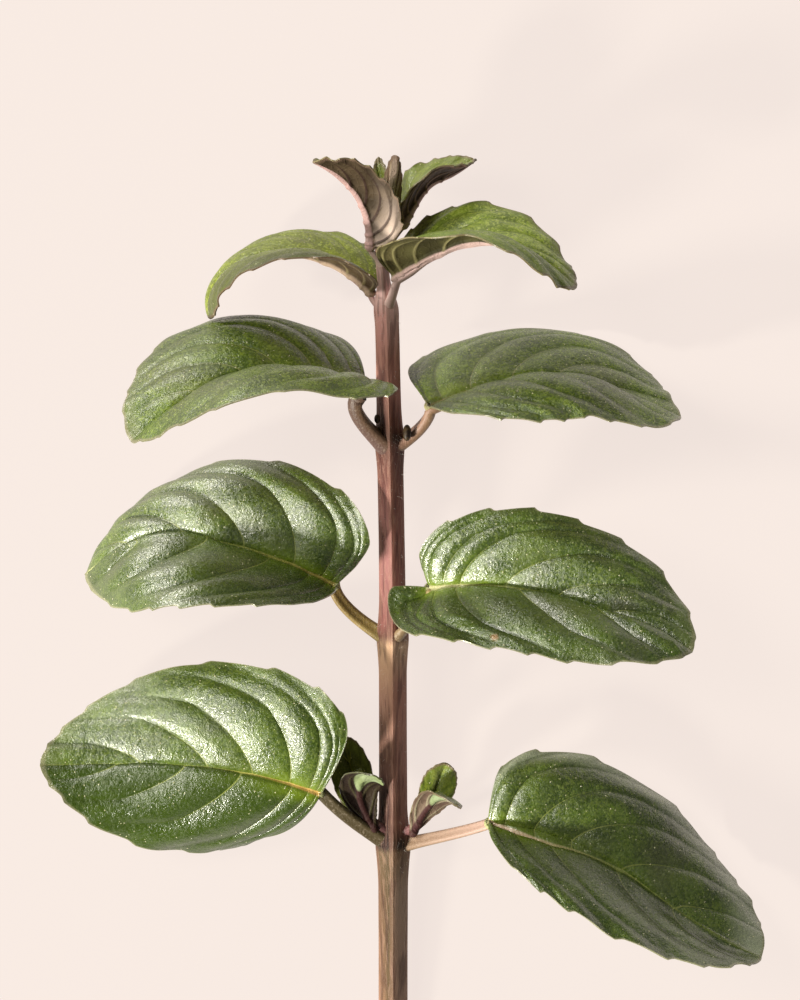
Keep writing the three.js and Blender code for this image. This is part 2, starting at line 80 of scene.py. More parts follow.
def addFloor():
    bpy.ops.mesh.primitive_plane_add(size=floor["size"], location=(0, 0, 0))
    plane = bpy.context.object
    plane.name = "paleFloor"
    material, tree = newMaterial("palePaper")
    glow = {"Emission Color": (*floor["glowColour"], 1), "Emission Strength": floor["glow"]}
    dress(tree, (*floor["colour"], 1), floor["roughness"], floor["shine"], **glow)
    plane.data.materials.append(material)


def addLight():
    world = bpy.data.worlds.new("softRoom")
    world.use_nodes = True
    background = world.node_tree.nodes["Background"]
    background.inputs["Color"].default_value = (*sky["colour"], 1)
    background.inputs["Strength"].default_value = sky["strength"]
    bpy.context.scene.world = world
    for name, lamp in lamps.items():
        azimuth, height = math.radians(lamp["azimuth"]), math.radians(lamp["height"])
        level = math.cos(height)
        towards = Vector((math.cos(azimuth) * level, math.sin(azimuth) * level, math.sin(height)))
        bpy.ops.object.light_add(type="AREA", location=towards * lampDistance)
        light = bpy.context.object
        light.name = name
        light.rotation_euler = (-towards).to_track_quat("-Z", "Y").to_euler()
        light.data.shape = "DISK"
        light.data.size = lamp["size"]
        light.data.energy = lamp["power"]
        light.data.color = lampColour
    bpy.context.scene.view_settings.view_transform = "Standard"


# small helpers for shader nodes: each adds to the node tree of the socket it is given
def newMaterial(name):
    material = bpy.data.materials.new(name)
    material.use_nodes = True
    return material, material.node_tree


def isSocket(value):
    return isinstance(value, bpy.types.NodeSocket)


def put(target, value):
    # a socket is wired in, anything else is set on the target itself
    if isSocket(value):
        target.id_data.links.new(value, target)
    else:
        target.default_value = value


def dress(tree, colour, roughness, shine, relief=(), **others):
    inputs = tree.nodes["Principled BSDF"].inputs
    values = {"Base Color": colour, "Roughness": roughness, "Specular IOR Level": shine, **others}
    if relief:
        values["Normal"] = bumps(relief)
    for name, value in values.items():
        put(inputs[name], value)


def sums(operation, *values):
    tree = next(value.id_data for value in values if isSocket(value))
    node = tree.nodes.new("ShaderNodeMath")
    node.operation = operation
    for target, value in zip(node.inputs, values):
        put(target, value)
    return node.outputs[0]


def times(first, second):
    return sums("MULTIPLY", first, second)


def spread(value, low, high, toLow=0, toHigh=1):
    node = value.id_data.nodes.new("ShaderNodeMapRange")
    node.interpolation_type = "SMOOTHSTEP"
    for target, entry in zip(node.inputs, (value, low, high, toLow, toHigh)):
        put(target, entry)
    return node.outputs[0]


def blend(share, first, second):
    node = share.id_data.nodes.new("ShaderNodeMix")
    node.data_type = "RGBA"
    put(node.inputs["Factor"], share)
    for target, value in zip(node.inputs[6:8], (first, second)):
        put(target, value if isSocket(value) else (*value, 1))
    return node.outputs[2]


def paint(colour, layers):
    # each layer is (how much of it covers what lies below, its colour)
    for share, cover in layers:
        colour = blend(share, colour, cover)
    return colour


def objectPlace(tree, stretch=(1, 1, 1)):
    # millimetres, so the sizes of the patterns are millimetres too
    coordinates = tree.nodes.new("ShaderNodeTexCoord")
    mapping = tree.nodes.new("ShaderNodeMapping")
    mapping.inputs["Scale"].default_value = [1 / (mm * amount) for amount in stretch]
    put(mapping.inputs["Vector"], coordinates.outputs["Object"])
    return mapping.outputs[0]


def clouds(place, size, detail):
    node = place.id_data.nodes.new("ShaderNodeTexNoise")
    node.inputs["Scale"].default_value = 1 / size
    node.inputs["Detail"].default_value = detail
    put(node.inputs["Vector"], place)
    return node.outputs[0]


def cells(place, size, feature="F1"):
    node = place.id_data.nodes.new("ShaderNodeTexVoronoi")
    node.feature = feature
    node.inputs["Scale"].default_value = 1 / size
    put(node.inputs["Vector"], place)
    return node


def parts(value, kind="XYZ"):
    node = value.id_data.nodes.new("ShaderNodeSeparate" + kind)
    put(node.inputs[0], value)
    return node.outputs


# what note() leaves on a piece
def readChart(tree):
    node = tree.nodes.new("ShaderNodeUVMap")
    node.uv_map = "leafChart"
    return parts(node.outputs[0])


def readSizes(tree):
    node = tree.nodes.new("ShaderNodeAttribute")
    node.attribute_name = "leafSizes"
    return parts(node.outputs["Vector"])


def distanceTo(place, spot):
    # as seen from above
    for operation, value in (("MULTIPLY", (1, 1, 0)), ("DISTANCE", (*spot, 0))):
        node = place.id_data.nodes.new("ShaderNodeVectorMath")
        node.operation = operation
        put(node.inputs[0], place)
        node.inputs[1].default_value = value
        place = node.outputs[0]
    return node.outputs["Value"]


def bumps(layers):
    # each layer is (height socket, how many millimetres it stands out)
    normal = None
    for height, depth in layers:
        node = height.id_data.nodes.new("ShaderNodeBump")
        node.inputs["Strength"].default_value = 1.0
        node.inputs["Distance"].default_value = depth * mm
        put(node.inputs["Height"], height)
        if normal:
            put(node.inputs["Normal"], normal)
        normal = node.outputs[0]
    return normal


# the leaf's materials: what all the leaves share, and each age of leaf
everyLook = dict(
    paintedRimSheenAndShadeReach=0.8, paintedRimSheenAndShadeSide=1, baseReach=0.5, bandFrom=1.5, blemishColour=(0.28, 0.12, 0.02),
    band=(0.3, 0.36, 0.2), net=0.1, stemwardPaintedShade=0, stemwardDull=0,
)
looks = dict(
    old=dict(
        green=(0.108, 0.176, 0.012), deep=(0.038, 0.07, 0.004), pale=(0.19, 0.25, 0.045),
        warm=(0.2, 0.29, 0.012), vein=(0.34, 0.38, 0.09), thread=0.75, rib=(0.56, 0.37, 0.11), ribWidth=0.62,
        stipple=0.6, rim=(0.125, 0.17, 0.04), stemwardPaintedShade=0.35, stemwardDull=-0.03, bloomAndPaintedSheen=(0.12, 0.12, 0.06),
        ash=0.4, edge=(0.32, 0.31, 0.17), gland=(0.8, 0.76, 0.46), under=(0.235, 0.27, 0.12),
        underDeep=(0.165, 0.19, 0.07), underBase=(0.24, 0.24, 0.11), underVein=(0.4, 0.42, 0.2),
        underRib=(0.45, 0.46, 0.22), roughness=0.34, shine=1, wax=1.56,
    ),
    middle=dict(
        green=(0.112, 0.182, 0.006), deep=(0.044, 0.078, 0.003), pale=(0.215, 0.285, 0.036),
        warm=(0.19, 0.25, 0.022), vein=(0.3, 0.31, 0.1), thread=0.7, rib=(0.36, 0.3, 0.11), ribWidth=0.5,
        stipple=0.75, rim=(0.13, 0.16, 0.045), bloomAndPaintedSheen=(0.115, 0.12, 0.034), ash=0.35, edge=(0.26, 0.23, 0.14),
        gland=(0.75, 0.7, 0.45), under=(0.2, 0.21, 0.09), underDeep=(0.13, 0.13, 0.055),
        underBase=(0.21, 0.18, 0.09), underVein=(0.38, 0.36, 0.18), underRib=(0.4, 0.36, 0.18), roughness=0.36,
        shine=0.9, wax=1.54,
    ),
    young=dict(
        green=(0.225, 0.295, 0.016), deep=(0.1, 0.138, 0.007), pale=(0.32, 0.385, 0.045),
        warm=(0.36, 0.43, 0.016), vein=(0.16, 0.19, 0.02), thread=0.6, rib=(0.5, 0.4, 0.18), ribWidth=0.4,
        stipple=0.45, rim=(0.18, 0.22, 0.03), bloomAndPaintedSheen=(0.15, 0.125, 0.06), ash=0.3, edge=(0.2, 0.13, 0.09),
        gland=(0.72, 0.68, 0.42), under=(0.11, 0.082, 0.036), underDeep=(0.055, 0.038, 0.018),
        underBase=(0.16, 0.12, 0.06), underVein=(0.4, 0.32, 0.16), underRib=(0.5, 0.36, 0.26), roughness=0.4,
        shine=0.9, wax=1.42,
    ),
)
patterns = dict(  # their sizes
    grain=0.2, frost=0.45, specks=0.27, glands=0.75, dimples=1.4, patches=5, bloomAndSheenPatches=9,
    underGrain=0.18, underPatches=3.5, underNet=1.2,
)
glossRange = 0.12  # the roughness varies by this much either way


def leafMeasures(tree):
    veins, side, _ = readChart(tree)
    panel, half, along = readSizes(tree)
    across = sums("ABSOLUTE", side)
    nearest = sums("ABSOLUTE", sums("SUBTRACT", sums("FRACT", sums("ADD", veins, 0.5)), 0.5))
    # millimetres to the next vein, the midrib and the margin, then where on the blade this is
    away = times(nearest, panel), times(across, half), times(sums("SUBTRACT", 1, across), half)
    return *away, across, along, spread(side, -0.06, 0.02, 1, 0)


def upperSkin(name, look):
    material, tree = newMaterial(name)
    place = objectPlace(tree)
    vein, rib, margin, across, along, stemward = leafMeasures(tree)
    grain = clouds(place, patterns["grain"], 3)
    frost = clouds(place, patterns["frost"], 4)
    patches = spread(clouds(place, patterns["patches"], 2), 0.36, 0.68)
    bloomAndSheenMask = spread(clouds(place, patterns["bloomAndSheenPatches"], 1), 0.5, 0.72, 0, look["ash"])
    specks = cells(place, patterns["specks"])
    speckHue, speckGloss, _ = parts(specks.outputs["Color"], "Color")
    # the blade is yellower along the lower part of the midrib
    nearRib = times(spread(rib, 0.2, 3.2, 0.75, 0), spread(along, 0.3, 0.75, 1, 0))
    # a painted sheen along the margin of one half, which on leafFourLeft is a painted shade instead
    paintedRimSheenAndShadeSide = spread(stemward, 0.4, 0.6, look["paintedRimSheenAndShadeSide"], 1 - look["paintedRimSheenAndShadeSide"])
    rim = times(spread(margin, 0.3, look["paintedRimSheenAndShadeReach"], 0.75, 0), paintedRimSheenAndShadeSide)
    # veins: a painted shade along the valley, with a pale thread in it
    thread = spread(vein, 0.03, spread(across, 0, 0.8, 0.17, 0.07), 1, 0)
    thread = times(thread, spread(across, 0.15, 0.85, look["thread"], 0.05))
    ribWidth = spread(along, 0.05, 0.8, look["ribWidth"], 0.16)
    midrib = spread(rib, times(ribWidth, 0.55), ribWidth, 1, 0)
    ribColour = blend(spread(along, 0.25, 0.75), look["rib"], look["vein"])
    layers = [
        (spread(frost, 0.4, 0.75, 0, 0.5), look["pale"]),
        (spread(grain, 0.35, 0.6, 0.45, 0), look["deep"]),
        (spread(speckHue, 0.55, 1, 0, look["stipple"]), look["pale"]),
        (spread(speckHue, 0, 0.45, look["stipple"], 0), look["deep"]),
        # partly a waxy bloom and partly a painted sheen, in patches that grow towards the tip
        (times(bloomAndSheenMask, spread(along, 0.2, 0.8)), look["bloomAndPaintedSheen"]),
        # painted shade: the half towards the foot of the stem is painted darker, and it is made duller
        (times(stemward, look["stemwardPaintedShade"]), look["deep"]),
        (nearRib, look["warm"]),
        (rim, look["rim"]),
        # painted shade along the valley of each vein
        (spread(vein, 0.06, 0.42, 0.45, 0), look["deep"]),
        (thread, look["vein"]),
        (times(midrib, spread(along, 0.45, 0.9, 0.92, 0.25)), ribColour),
        (spread(margin, 0.03, 0.16, 0.7, 0), look["edge"]),
    ]
    if "blemish" in look:
        wide = sums("ADD", distanceTo(place, cutEnd[:2] + look["blemish"]), times(frost, 0.8))
        layers.append((spread(wide, 0.5, 1.2, 0.85, 0), look["blemishColour"]))
    # glands, as fine pale dots
    glands = cells(place, patterns["glands"])
    dot = spread(glands.outputs["Distance"], 0.1, 0.17, 1, 0)
    dot = times(dot, spread(parts(glands.outputs["Color"], "Color")[0], 0.45, 0.7))
    layers.append((times(dot, 0.9), look["gland"]))
    dimples = clouds(place, patterns["dimples"], 1)
    gloss = spread(speckGloss, 0, 1, look["roughness"] - glossRange, look["roughness"] + glossRange)
    gloss = sums("ADD", gloss, times(stemward, look["stemwardDull"]))
    relief = [(dimples, 0.14), (frost, 0.08), (specks.outputs["Distance"], -0.025), (grain, 0.05), (dot, 0.06)]
    colour = paint(blend(patches, look["deep"], look["green"]), layers)
    dress(tree, colour, gloss, look["shine"], relief, IOR=look["wax"])
    return material


def underSkin(name, look):
    material, tree = newMaterial(name)
    place = objectPlace(tree)
    vein, rib, margin, across, along, _ = leafMeasures(tree)
    inner = spread(across, 0.6, 1, 1, 0.3)
    threads = times(spread(vein, 0.06, spread(across, 0, 1, 0.34, 0.18), 0.75, 0), inner)
    midrib = spread(rib, 0.2, spread(along, 0, 0.8, 0.8, 0.28), 0.92, 0)
    net = cells(place, patterns["underNet"], "DISTANCE_TO_EDGE").outputs["Distance"]
    net = spread(net, 0, 0.14, 1, 0)
    grain = clouds(place, patterns["underGrain"], 3)
    patches = spread(clouds(place, patterns["underPatches"], 3), 0.35, 0.68)
    # near the tip of a bent leaf a band of the green side has turned over
    turned = spread(along, look["bandFrom"], look["bandFrom"] + 0.03)
    colour = paint(blend(patches, look["underDeep"], look["under"]), [
        (times(spread(along, 0.1, look["baseReach"], 0.9, 0), inner), look["underBase"]),
        (times(net, look["net"]), look["underVein"]),
        (threads, look["underVein"]),
        (midrib, look["underRib"]),
        (spread(margin, 0.04, 0.25, 0.6, 0), look["edge"]),
        (turned, blend(patches, look["band"], look["green"])),
    ])
    roughness = spread(grain, 0.3, 0.7, 0.5, 0.7)
    dress(tree, colour, roughness, shine=0.15, relief=[(net, 0.04), (grain, 0.05)])
    return material


def stalkSkin(name, stalk, fleckColour):
    material, tree = newMaterial(name)
    place = objectPlace(tree)
    sunny, _, along = readSizes(tree)
    streaks = clouds(objectPlace(tree, (0.7, 2.2, 0.7)), 0.4, 3)
    share = spread(sums("ADD", sunny, times(streaks, 0.3)), 0.35, 0.85)
    sunnySide, shadedSide = (blend(along, foot, head) for foot, head in zip(*stalk))
    flecks = spread(clouds(place, 0.35, 2), 0.55, 0.72, 0, 0.3)
    colour = blend(flecks, blend(share, shadedSide, sunnySide), fleckColour)
    grain = clouds(place, 0.16, 2)
    dress(tree, colour, roughness=0.48, shine=0.5, relief=[(streaks, 0.08), (grain, 0.04)])
    return material


# surfaces: a grid laid out by a formula
weldDistance = 0.002 * mm
smoothAngle = math.radians(50)


def addGrid(name, rows, columns):
    bpy.ops.mesh.primitive_grid_add(x_subdivisions=columns, y_subdivisions=rows, size=2)
    piece = bpy.context.object
    piece.name = piece.data.name = name
    flat = np.empty(len(piece.data.vertices) * 3)
    piece.data.vertices.foreach_get("co", flat)
    flat = flat.reshape(rows + 1, columns + 1, 3)
    return piece, (flat[..., 1] + 1) / 2, (flat[..., 0] + 1) / 2


def moveTo(piece, points):
    piece.data.vertices.foreach_set("co", toMetres(points).ravel())
    piece.data.update()


def note(piece, chart, sizes):
    mesh = piece.data
    while mesh.uv_layers:
        mesh.uv_layers.remove(mesh.uv_layers[0])
    layer = mesh.uv_layers.new(name="leafChart")
    corners = np.empty(len(mesh.loops), dtype=np.int32)
    mesh.loops.foreach_get("vertex_index", corners)
    layer.uv.foreach_set("vector", np.stack(chart, -1).reshape(-1, 2)[corners].ravel())
    attribute = mesh.attributes.new("leafSizes", "FLOAT_VECTOR", "POINT")
    attribute.data.foreach_set("vector", np.stack(sizes, -1).ravel())


def choose(pieces):
    bpy.ops.object.select_all(action="DESELECT")
    for piece in pieces:
        piece.select_set(True)
    bpy.context.view_layer.objects.active = pieces[0]


def weld(piece):
    choose([piece])
    bpy.ops.object.mode_set(mode="EDIT")
    bpy.ops.mesh.select_all(action="SELECT")
    bpy.ops.mesh.remove_doubles(threshold=weldDistance)
    bpy.ops.object.mode_set(mode="OBJECT")


def fuse(pieces, name):
    choose(pieces)
    bpy.ops.object.join()
    whole = bpy.context.object
    whole.name = whole.data.name = name
    bpy.ops.object.shade_smooth_by_angle(angle=smoothAngle)
    return whole


def unit(vectors):
    return vectors / np.maximum(np.linalg.norm(vectors, axis=-1, keepdims=True), 1e-9)


def bezier(points, t):
    a, b, c, d = (np.asarray(point, float) for point in points)
    t = t[..., None]
    return (1 - t) ** 3 * a + 3 * (1 - t) ** 2 * t * b + 3 * (1 - t) * t * t * c + t**3 * d


# a curve that is read by the distance along it, and runs on straight at its ends
class Route:
    def __init__(self, points):
        self.points = bezier(points, np.linspace(0, 1, 161))
        steps = np.linalg.norm(np.diff(self.points, axis=0), axis=1)
        self.travelled = np.concatenate([[0], np.cumsum(steps)])
        self.length = self.travelled[-1]
        self.headings = unit(np.gradient(self.points, axis=0))

    def at(self, distance):
        inside = np.clip(distance, 0, self.length)
        place, heading = (
            np.stack([np.interp(inside, self.travelled, column) for column in values.T], -1)
            for values in (self.points, self.headings)
        )
        heading = unit(heading)
        return place + heading * (distance - inside)[..., None], heading


# one blade: u runs from its base to its tip, v from one margin to the other, w from the midrib out
blade = dict(
    sweep=0.15, sweepStart=0.12,  # how far a vein runs forward on its way to the margin
    crowding=2.3,  # veins leave the midrib closer together near its base
    arch=1.4,
    hook=0.6, hookStart=0.65,  # near the margin they turn further forward
    pillow=2.6,
    quilt=0.68,  # below one the valleys along the veins are sharp
    panels=16,  # at most, between the veins of one half
    panelHeights=(0.8, 1.2),
    fullPanel=4.5,  # panels narrower than this stand up less
    waves=(2.3, 4.1, 6.7),  # of the margin
    teeth=9, toothApex=0.88,
    groove=0.35, grooveReach=0.45,  # along the midrib on the upper side
    keelReach=0.5,
    ridge=0.14, ridgeReach=0.22,  # of a vein on the under side
    thickness=0.34, thinning=0.35,  # towards the margin
)
fades = dict(teeth=(0.15, 0.12), veins=(0.1, 0.14), pillow=(0.08, 0.08))  # at the base and at the tip
usualLeaf = dict(  # what a leaf has when it says nothing else
    up=(0, 0, 1), base=0.92, tooth=0.6, ripple=0.18, keel=0.55, depth=0.78, bow=[(0, 0), (1, 0)], tint={},
)


def grown(leaf):
    return {**usualLeaf, **leaf, "route": Route(leaf["rib"])}


def near(distance, reach):
    return np.exp(-((distance / reach) ** 2))


def fade(u, kind):
    base, tip = fades[kind]
    return np.minimum(1, u / base) * np.minimum(1, (1 - u) / tip)


def ribFrames(leaf, distance):
    place, along = leaf["route"].at(distance)
    share = np.clip(distance / leaf["route"].length, 0, 1)
    up = np.array(leaf["up"])
    facing = unit(up - (along @ up)[..., None] * along)
    across = leaf["side"] * np.cross(facing, along)
    first, last = leaf["roll"]
    roll = np.radians(first + (last - first) * share)[..., None]
    cosine, sine = np.cos(roll), np.sin(roll)
    return place, facing * cosine + across * sine, across * cosine - facing * sine, share


def either(leaf, tipward, key, share=None):
    first, second = leaf["tipward"][key], leaf["stemward"][key]
    if share is not None:
        first, second = (low + (high - low) * share for low, high in (first, second))
    return np.where(tipward, first, second)


# Counts the veins passed on the way to the tip, and says how far across its half a place is.
def veinChart(leaf, u, v):
    bow = np.interp(u, *zip(*leaf["bow"]))
    tipward = v >= bow
    across = np.abs(v - bow) / np.where(tipward, 1 - bow, 1 + bow)
    hook = blade["hook"] * np.maximum(0, across - blade["hookStart"]) ** 1.5
    back = u - hook * np.minimum(1, (1 - u) * 2.5)
    counts = []
    for half in ("tipward", "stemward"):
        stops = [0, *(share / 100 for share in leaf[half]["veins"]), 1]
        counts.append(np.interp(back, stops, range(len(stops))))
    return tipward, across, np.where(tipward, *counts)


# How far a half bulges, or sags where it is below zero, between the midrib and the margin.
def pillowHeight(leaf, tipward, u, w):
    halves = [leaf[half].get("pillow", (0, 0, 0)) for half in ("tipward", "stemward")]
    low, middle, high = (np.where(tipward, *pair) for pair in zip(*halves))
    amount = low * (1 - u) ** 2 + 3 * middle * u * (1 - u) + high * u**2
    return blade["pillow"] * w**0.7 * (1 - w) * amount * fade(u, "pillow")


def bladeSheet(leaf, u, v):
    tipward, w = v >= 0, np.abs(v)
    length, halfWidth = leaf["route"].length, leaf["halfWidth"]
    a = u + blade["sweep"] * (1 - u) * np.minimum(1, u / blade["sweepStart"]) * w**2
    turn = np.pi * a
    sine, cosine = np.sin(turn), np.cos(turn)
    back = either(leaf, tipward, "lobe") * length * np.sin(np.minimum(turn * 1.6, np.pi)) ** 2
    marginX = length * (1 - cosine) / 2 - back
    bulge = np.abs(sine) ** np.where(a < 0.5, leaf["base"], leaf["point"])
    marginY = halfWidth * bulge * (1 + leaf["egg"] * cosine)
    ribX = length * a ** blade["crowding"]
    apex = blade["toothApex"]
    step = (u * blade["teeth"] + 0.3 * np.sin(9 * u + leaf["seed"])) % 1
    tooth = np.where(step < apex, step / apex, (1 - step) / (1 - apex))
    out = marginY * w + leaf["tooth"] * tooth**1.5 * fade(u, "teeth") * w**14
    place, facing, across, share = ribFrames(leaf, ribX + (marginX - ribX) * w ** blade["arch"])
    rise = np.radians(either(leaf, tipward, "fold", share))
    bend = np.radians(either(leaf, tipward, "curl")) + 1e-6
    slope = rise - bend * out / halfWidth
    sign = np.where(tipward, 1.0, -1.0)
    swell = pillowHeight(leaf, tipward, u, w)
    aside = (halfWidth / bend * (np.sin(rise) - np.sin(slope)) - np.sin(slope) * swell) * sign
    lift = halfWidth / bend * (np.cos(slope) - np.cos(rise)) + np.cos(slope) * swell
    return place + across * aside[..., None] + facing * lift[..., None], marginY, facing


def sheetNormals(points, facing):
    normals = unit(np.cross(np.gradient(points, axis=0), np.gradient(points, axis=1)))
    normals[0] = unit(facing[0])
    normals[-1] = normals[-2]
    return -normals if np.sum(normals * facing) < 0 else normals


# Millimetres from one vein to the next, square to the veins.
def panelWidths(points, count):
    down, aside = np.gradient(points, axis=0), np.gradient(points, axis=1)
    stepDown, stepAside = np.gradient(count, axis=0), np.gradient(count, axis=1)
    longways = np.sum(down * down, -1)
    mixed = np.sum(down * aside, -1)
    sideways = np.sum(aside * aside, -1)
    area = np.maximum(longways * sideways - mixed**2, 1e-12)
    steep = sideways * stepDown**2 - 2 * mixed * stepDown * stepAside + longways * stepAside**2
    return np.clip(np.sqrt(area / np.maximum(steep, 1e-9)), 0.3, 12.0)


def addBlade(name, leaf, fine, number=""):
    # one sheet is laid out, Solidify gives it an under side, and then both sides get their true places
    piece, s, c = addGrid(name, *fine)
    u = 0.35 * s + 0.65 * (1 - np.cos(np.pi * s)) / 2
    raw = (1 - 2 * c) * leaf["side"]
    v = np.sign(raw) * np.abs(raw) ** 1.15
    middle, halfRow, facing = bladeSheet(leaf, u, v)
    normals = sheetNormals(middle, facing)
    tipward, w, count = veinChart(leaf, u, v)
    panel = panelWidths(middle, count)
    random.seed(leaf["seed"])
    half = blade["panels"]
    heights = np.array([random.uniform(*blade["panelHeights"]) for _ in range(2 * half)])
    heights = heights[np.clip(count.astype(int) + np.where(tipward, 0, half), 0, 2 * half - 1)]
    fading = fade(u, "veins")
    puff = np.sin(np.pi * (count % 1)) ** blade["quilt"] * heights * np.minimum(1, panel / blade["fullPanel"])
    puff = puff * leaf["puff"] * fading * w**0.4 * (1 - w**5)
    ripple = sum(
        random.uniform(0.5, 1.0) * np.sin(2 * np.pi * (waves * u + random.random()) + v)
        for waves in blade["waves"]
    )
    ripple = ripple * leaf["ripple"] * w**3 * fading
    fromRib = w * halfRow
    groove = blade["groove"] * near(fromRib, blade["grooveReach"]) * fading
    middle = middle + normals * (puff + ripple - groove)[..., None]
    normals = sheetNormals(middle, facing)
    thickness = blade["thickness"] * (1 - blade["thinning"] * w**4)
    fromVein = np.abs((count + 0.5) % 1 - 0.5) * panel
    ridge = leaf["keel"] * near(fromRib, blade["keelReach"]) * (1 - u) ** 0.7
    ridge = ridge + blade["ridge"] * near(fromVein, blade["ridgeReach"]) * (1 - w**3) * fading
    top = middle + normals * (thickness / 2)[..., None]
    bottom = middle - normals * (thickness / 2 + ridge)[..., None]
    moveTo(piece, top)
    note(piece, [count, np.where(tipward, w, -w)], [panel, halfRow, u])
    look = {**everyLook, **looks[leaf["look"]], **leaf["tint"]}
    for side, skinOf in (("Upper", upperSkin), ("Under", underSkin)):
        piece.data.materials.append(skinOf(f"{leaf['name']}{side}{number}", look))
    solid = piece.modifiers.new("solidify", "SOLIDIFY")
    solid.thickness = blade["thickness"] * mm
    solid.offset = -1
    solid.material_offset = 1
    solid.material_offset_rim = 0
    bpy.ops.object.modifier_apply(modifier=solid.name)
    moveTo(piece, np.stack([top, bottom]))
    weld(piece)
    return piece


# stalks: petioles and the stems of the side shoots
tubeSides = 20


def addTube(name, centres, ups, widths, depth, groove, material):
    piece, s, c = addGrid(name, len(centres) - 1, tubeSides)
    turn = 2 * np.pi * c
    headings = unit(np.gradient(centres, axis=0))
    facing = unit(ups - np.sum(ups * headings, axis=-1, keepdims=True) * headings)
    across = np.cross(facing, headings)
    high = np.sin(turn)
    hollow = np.where(high > 0, groove * high**5, 0.0)
    radius = np.repeat(widths[:, None] / 2, tubeSides + 1, axis=1)
    radius[[0, -1]] = 0.0
    aside, lift = radius * np.cos(turn), radius * depth * (high - hollow)
    moveTo(piece, centres[:, None] + across[:, None] * aside[..., None] + facing[:, None] * lift[..., None])
    note(piece, [c, s], [(high + 1) / 2, radius, s])
    piece.data.materials.append(material)
    weld(piece)
    return piece


# the stem
stem = dict(
    axis=[
        (0.15, 0, 2.2), (0.15, 40, 6.6), (0, 70, 9.9), (-0.5, 95, 12.7), (-0.9, 108.5, 14.1),
        (-1.9, 118.5, 15.3),
    ],
    radius=[
        (0, 2.2), (12, 2.2), (22, 2.25), (25.5, 2.5), (27.5, 2.75), (29.5, 2.5), (32.5, 2.15), (44, 2.1),
        (54, 2.1), (57, 2.3), (59, 2.5), (61, 2.2), (64, 2), (74, 1.95), (84, 1.95), (86.5, 2.15), (88.5, 2.3),
        (90.5, 2), (93, 1.85), (100, 1.8), (106, 1.8), (108, 1.95), (109.5, 1.6), (111.5, 1), (115, 0.9),
        (118, 0.8),
    ],
    squareness=1.2, rows=420, sides=72, nodes=[27.5, 59, 88.5, 108], clearance=0.02,
)


def stemAxis(height):
    points = np.array(stem["axis"], float)
    stops = points[:, 1]
    slopes = np.gradient(points, stops, axis=0)
    height = np.clip(height, stops[0], stops[-1])
    k = np.clip(np.searchsorted(stops, height) - 1, 0, len(points) - 2)
    gap = (stops[k + 1] - stops[k])[..., None]
    t = (height - stops[k])[..., None] / gap
    return (
        (2 * t**3 - 3 * t**2 + 1) * points[k]
        + (t**3 - 2 * t**2 + t) * gap * slopes[k]
        + (3 * t**2 - 2 * t**3) * points[k + 1]
        + (t**3 - t**2) * gap * slopes[k + 1]
    )


def stemReach(height, turn):
    knots, values = zip(*stem["radius"])
    radius = np.mean([np.interp(height + shift, knots, values) for shift in np.linspace(-1, 1, 9)], axis=0)
    power = stem["squareness"]
    return radius / (np.abs(np.cos(turn)) ** power + np.abs(np.sin(turn)) ** power) ** (1 / power)


# each stop of a face is (share of the height from the cut end to the tip, colour); both faces are painted
# lighter where leaves cast shadows on the stem, and the shaded face is painted lighter to make up for the
# little light it gets
stemColours = dict(
    sunnyFace=[
        (0, 0.24, 0.135, 0.075), (0.17, 0.12, 0.07, 0.035), (0.222, 0.12, 0.08, 0.04),
        (0.23, 0.012, 0.006, 0.003), (0.237, 0.012, 0.006, 0.003), (0.25, 0.036, 0.014, 0.011),
        (0.32, 0.085, 0.036, 0.028), (0.42, 0.34, 0.18, 0.125), (0.488, 0.6, 0.38, 0.23),
        (0.498, 0.12, 0.055, 0.036), (0.515, 0.22, 0.085, 0.075), (0.62, 0.36, 0.16, 0.15),
        (0.7, 0.17, 0.065, 0.052), (0.742, 0.08, 0.03, 0.02), (0.752, 0.014, 0.005, 0.004),
        (0.77, 0.05, 0.018, 0.013), (0.85, 0.38, 0.175, 0.14), (0.905, 0.6, 0.31, 0.28),
        (0.925, 0.74, 0.48, 0.45), (1, 0.72, 0.48, 0.48),
    ],
    shadedFace=[
        (0, 0.38, 0.23, 0.165), (0.17, 0.34, 0.24, 0.18), (0.222, 0.16, 0.095, 0.05),
        (0.23, 0.01, 0.004, 0.002), (0.238, 0.01, 0.004, 0.002), (0.26, 0.32, 0.15, 0.12),
        (0.44, 0.44, 0.21, 0.16), (0.488, 0.66, 0.45, 0.31), (0.498, 0.26, 0.13, 0.09),
        (0.515, 0.34, 0.13, 0.11), (0.68, 0.22, 0.08, 0.062), (0.742, 0.12, 0.045, 0.035),
        (0.752, 0.015, 0.006, 0.004), (0.77, 0.22, 0.08, 0.065), (0.85, 0.52, 0.23, 0.19),
        (0.92, 0.78, 0.5, 0.46), (1, 0.74, 0.5, 0.5),
    ],
    # the first of these colours is a painted shade for the middle of the stem below the lowest node
    paintedMiddleShade=(0.06, 0.042, 0.012), stripe=(0.56, 0.34, 0.25), streak=(0.04, 0.013, 0.011),
    corner=(0.36, 0.19, 0.13), fleck=(0.58, 0.4, 0.32),
)


def heightRamp(height, stops):
    ramp = height.id_data.nodes.new("ShaderNodeValToRGB")
    put(ramp.inputs[0], height)
    while len(ramp.color_ramp.elements) < len(stops):
        ramp.color_ramp.elements.new(0.5)
    for element, (start, *colour) in zip(ramp.color_ramp.elements, stops):
        element.position = start
        element.color = (*colour, 1)
    return ramp.outputs[0]


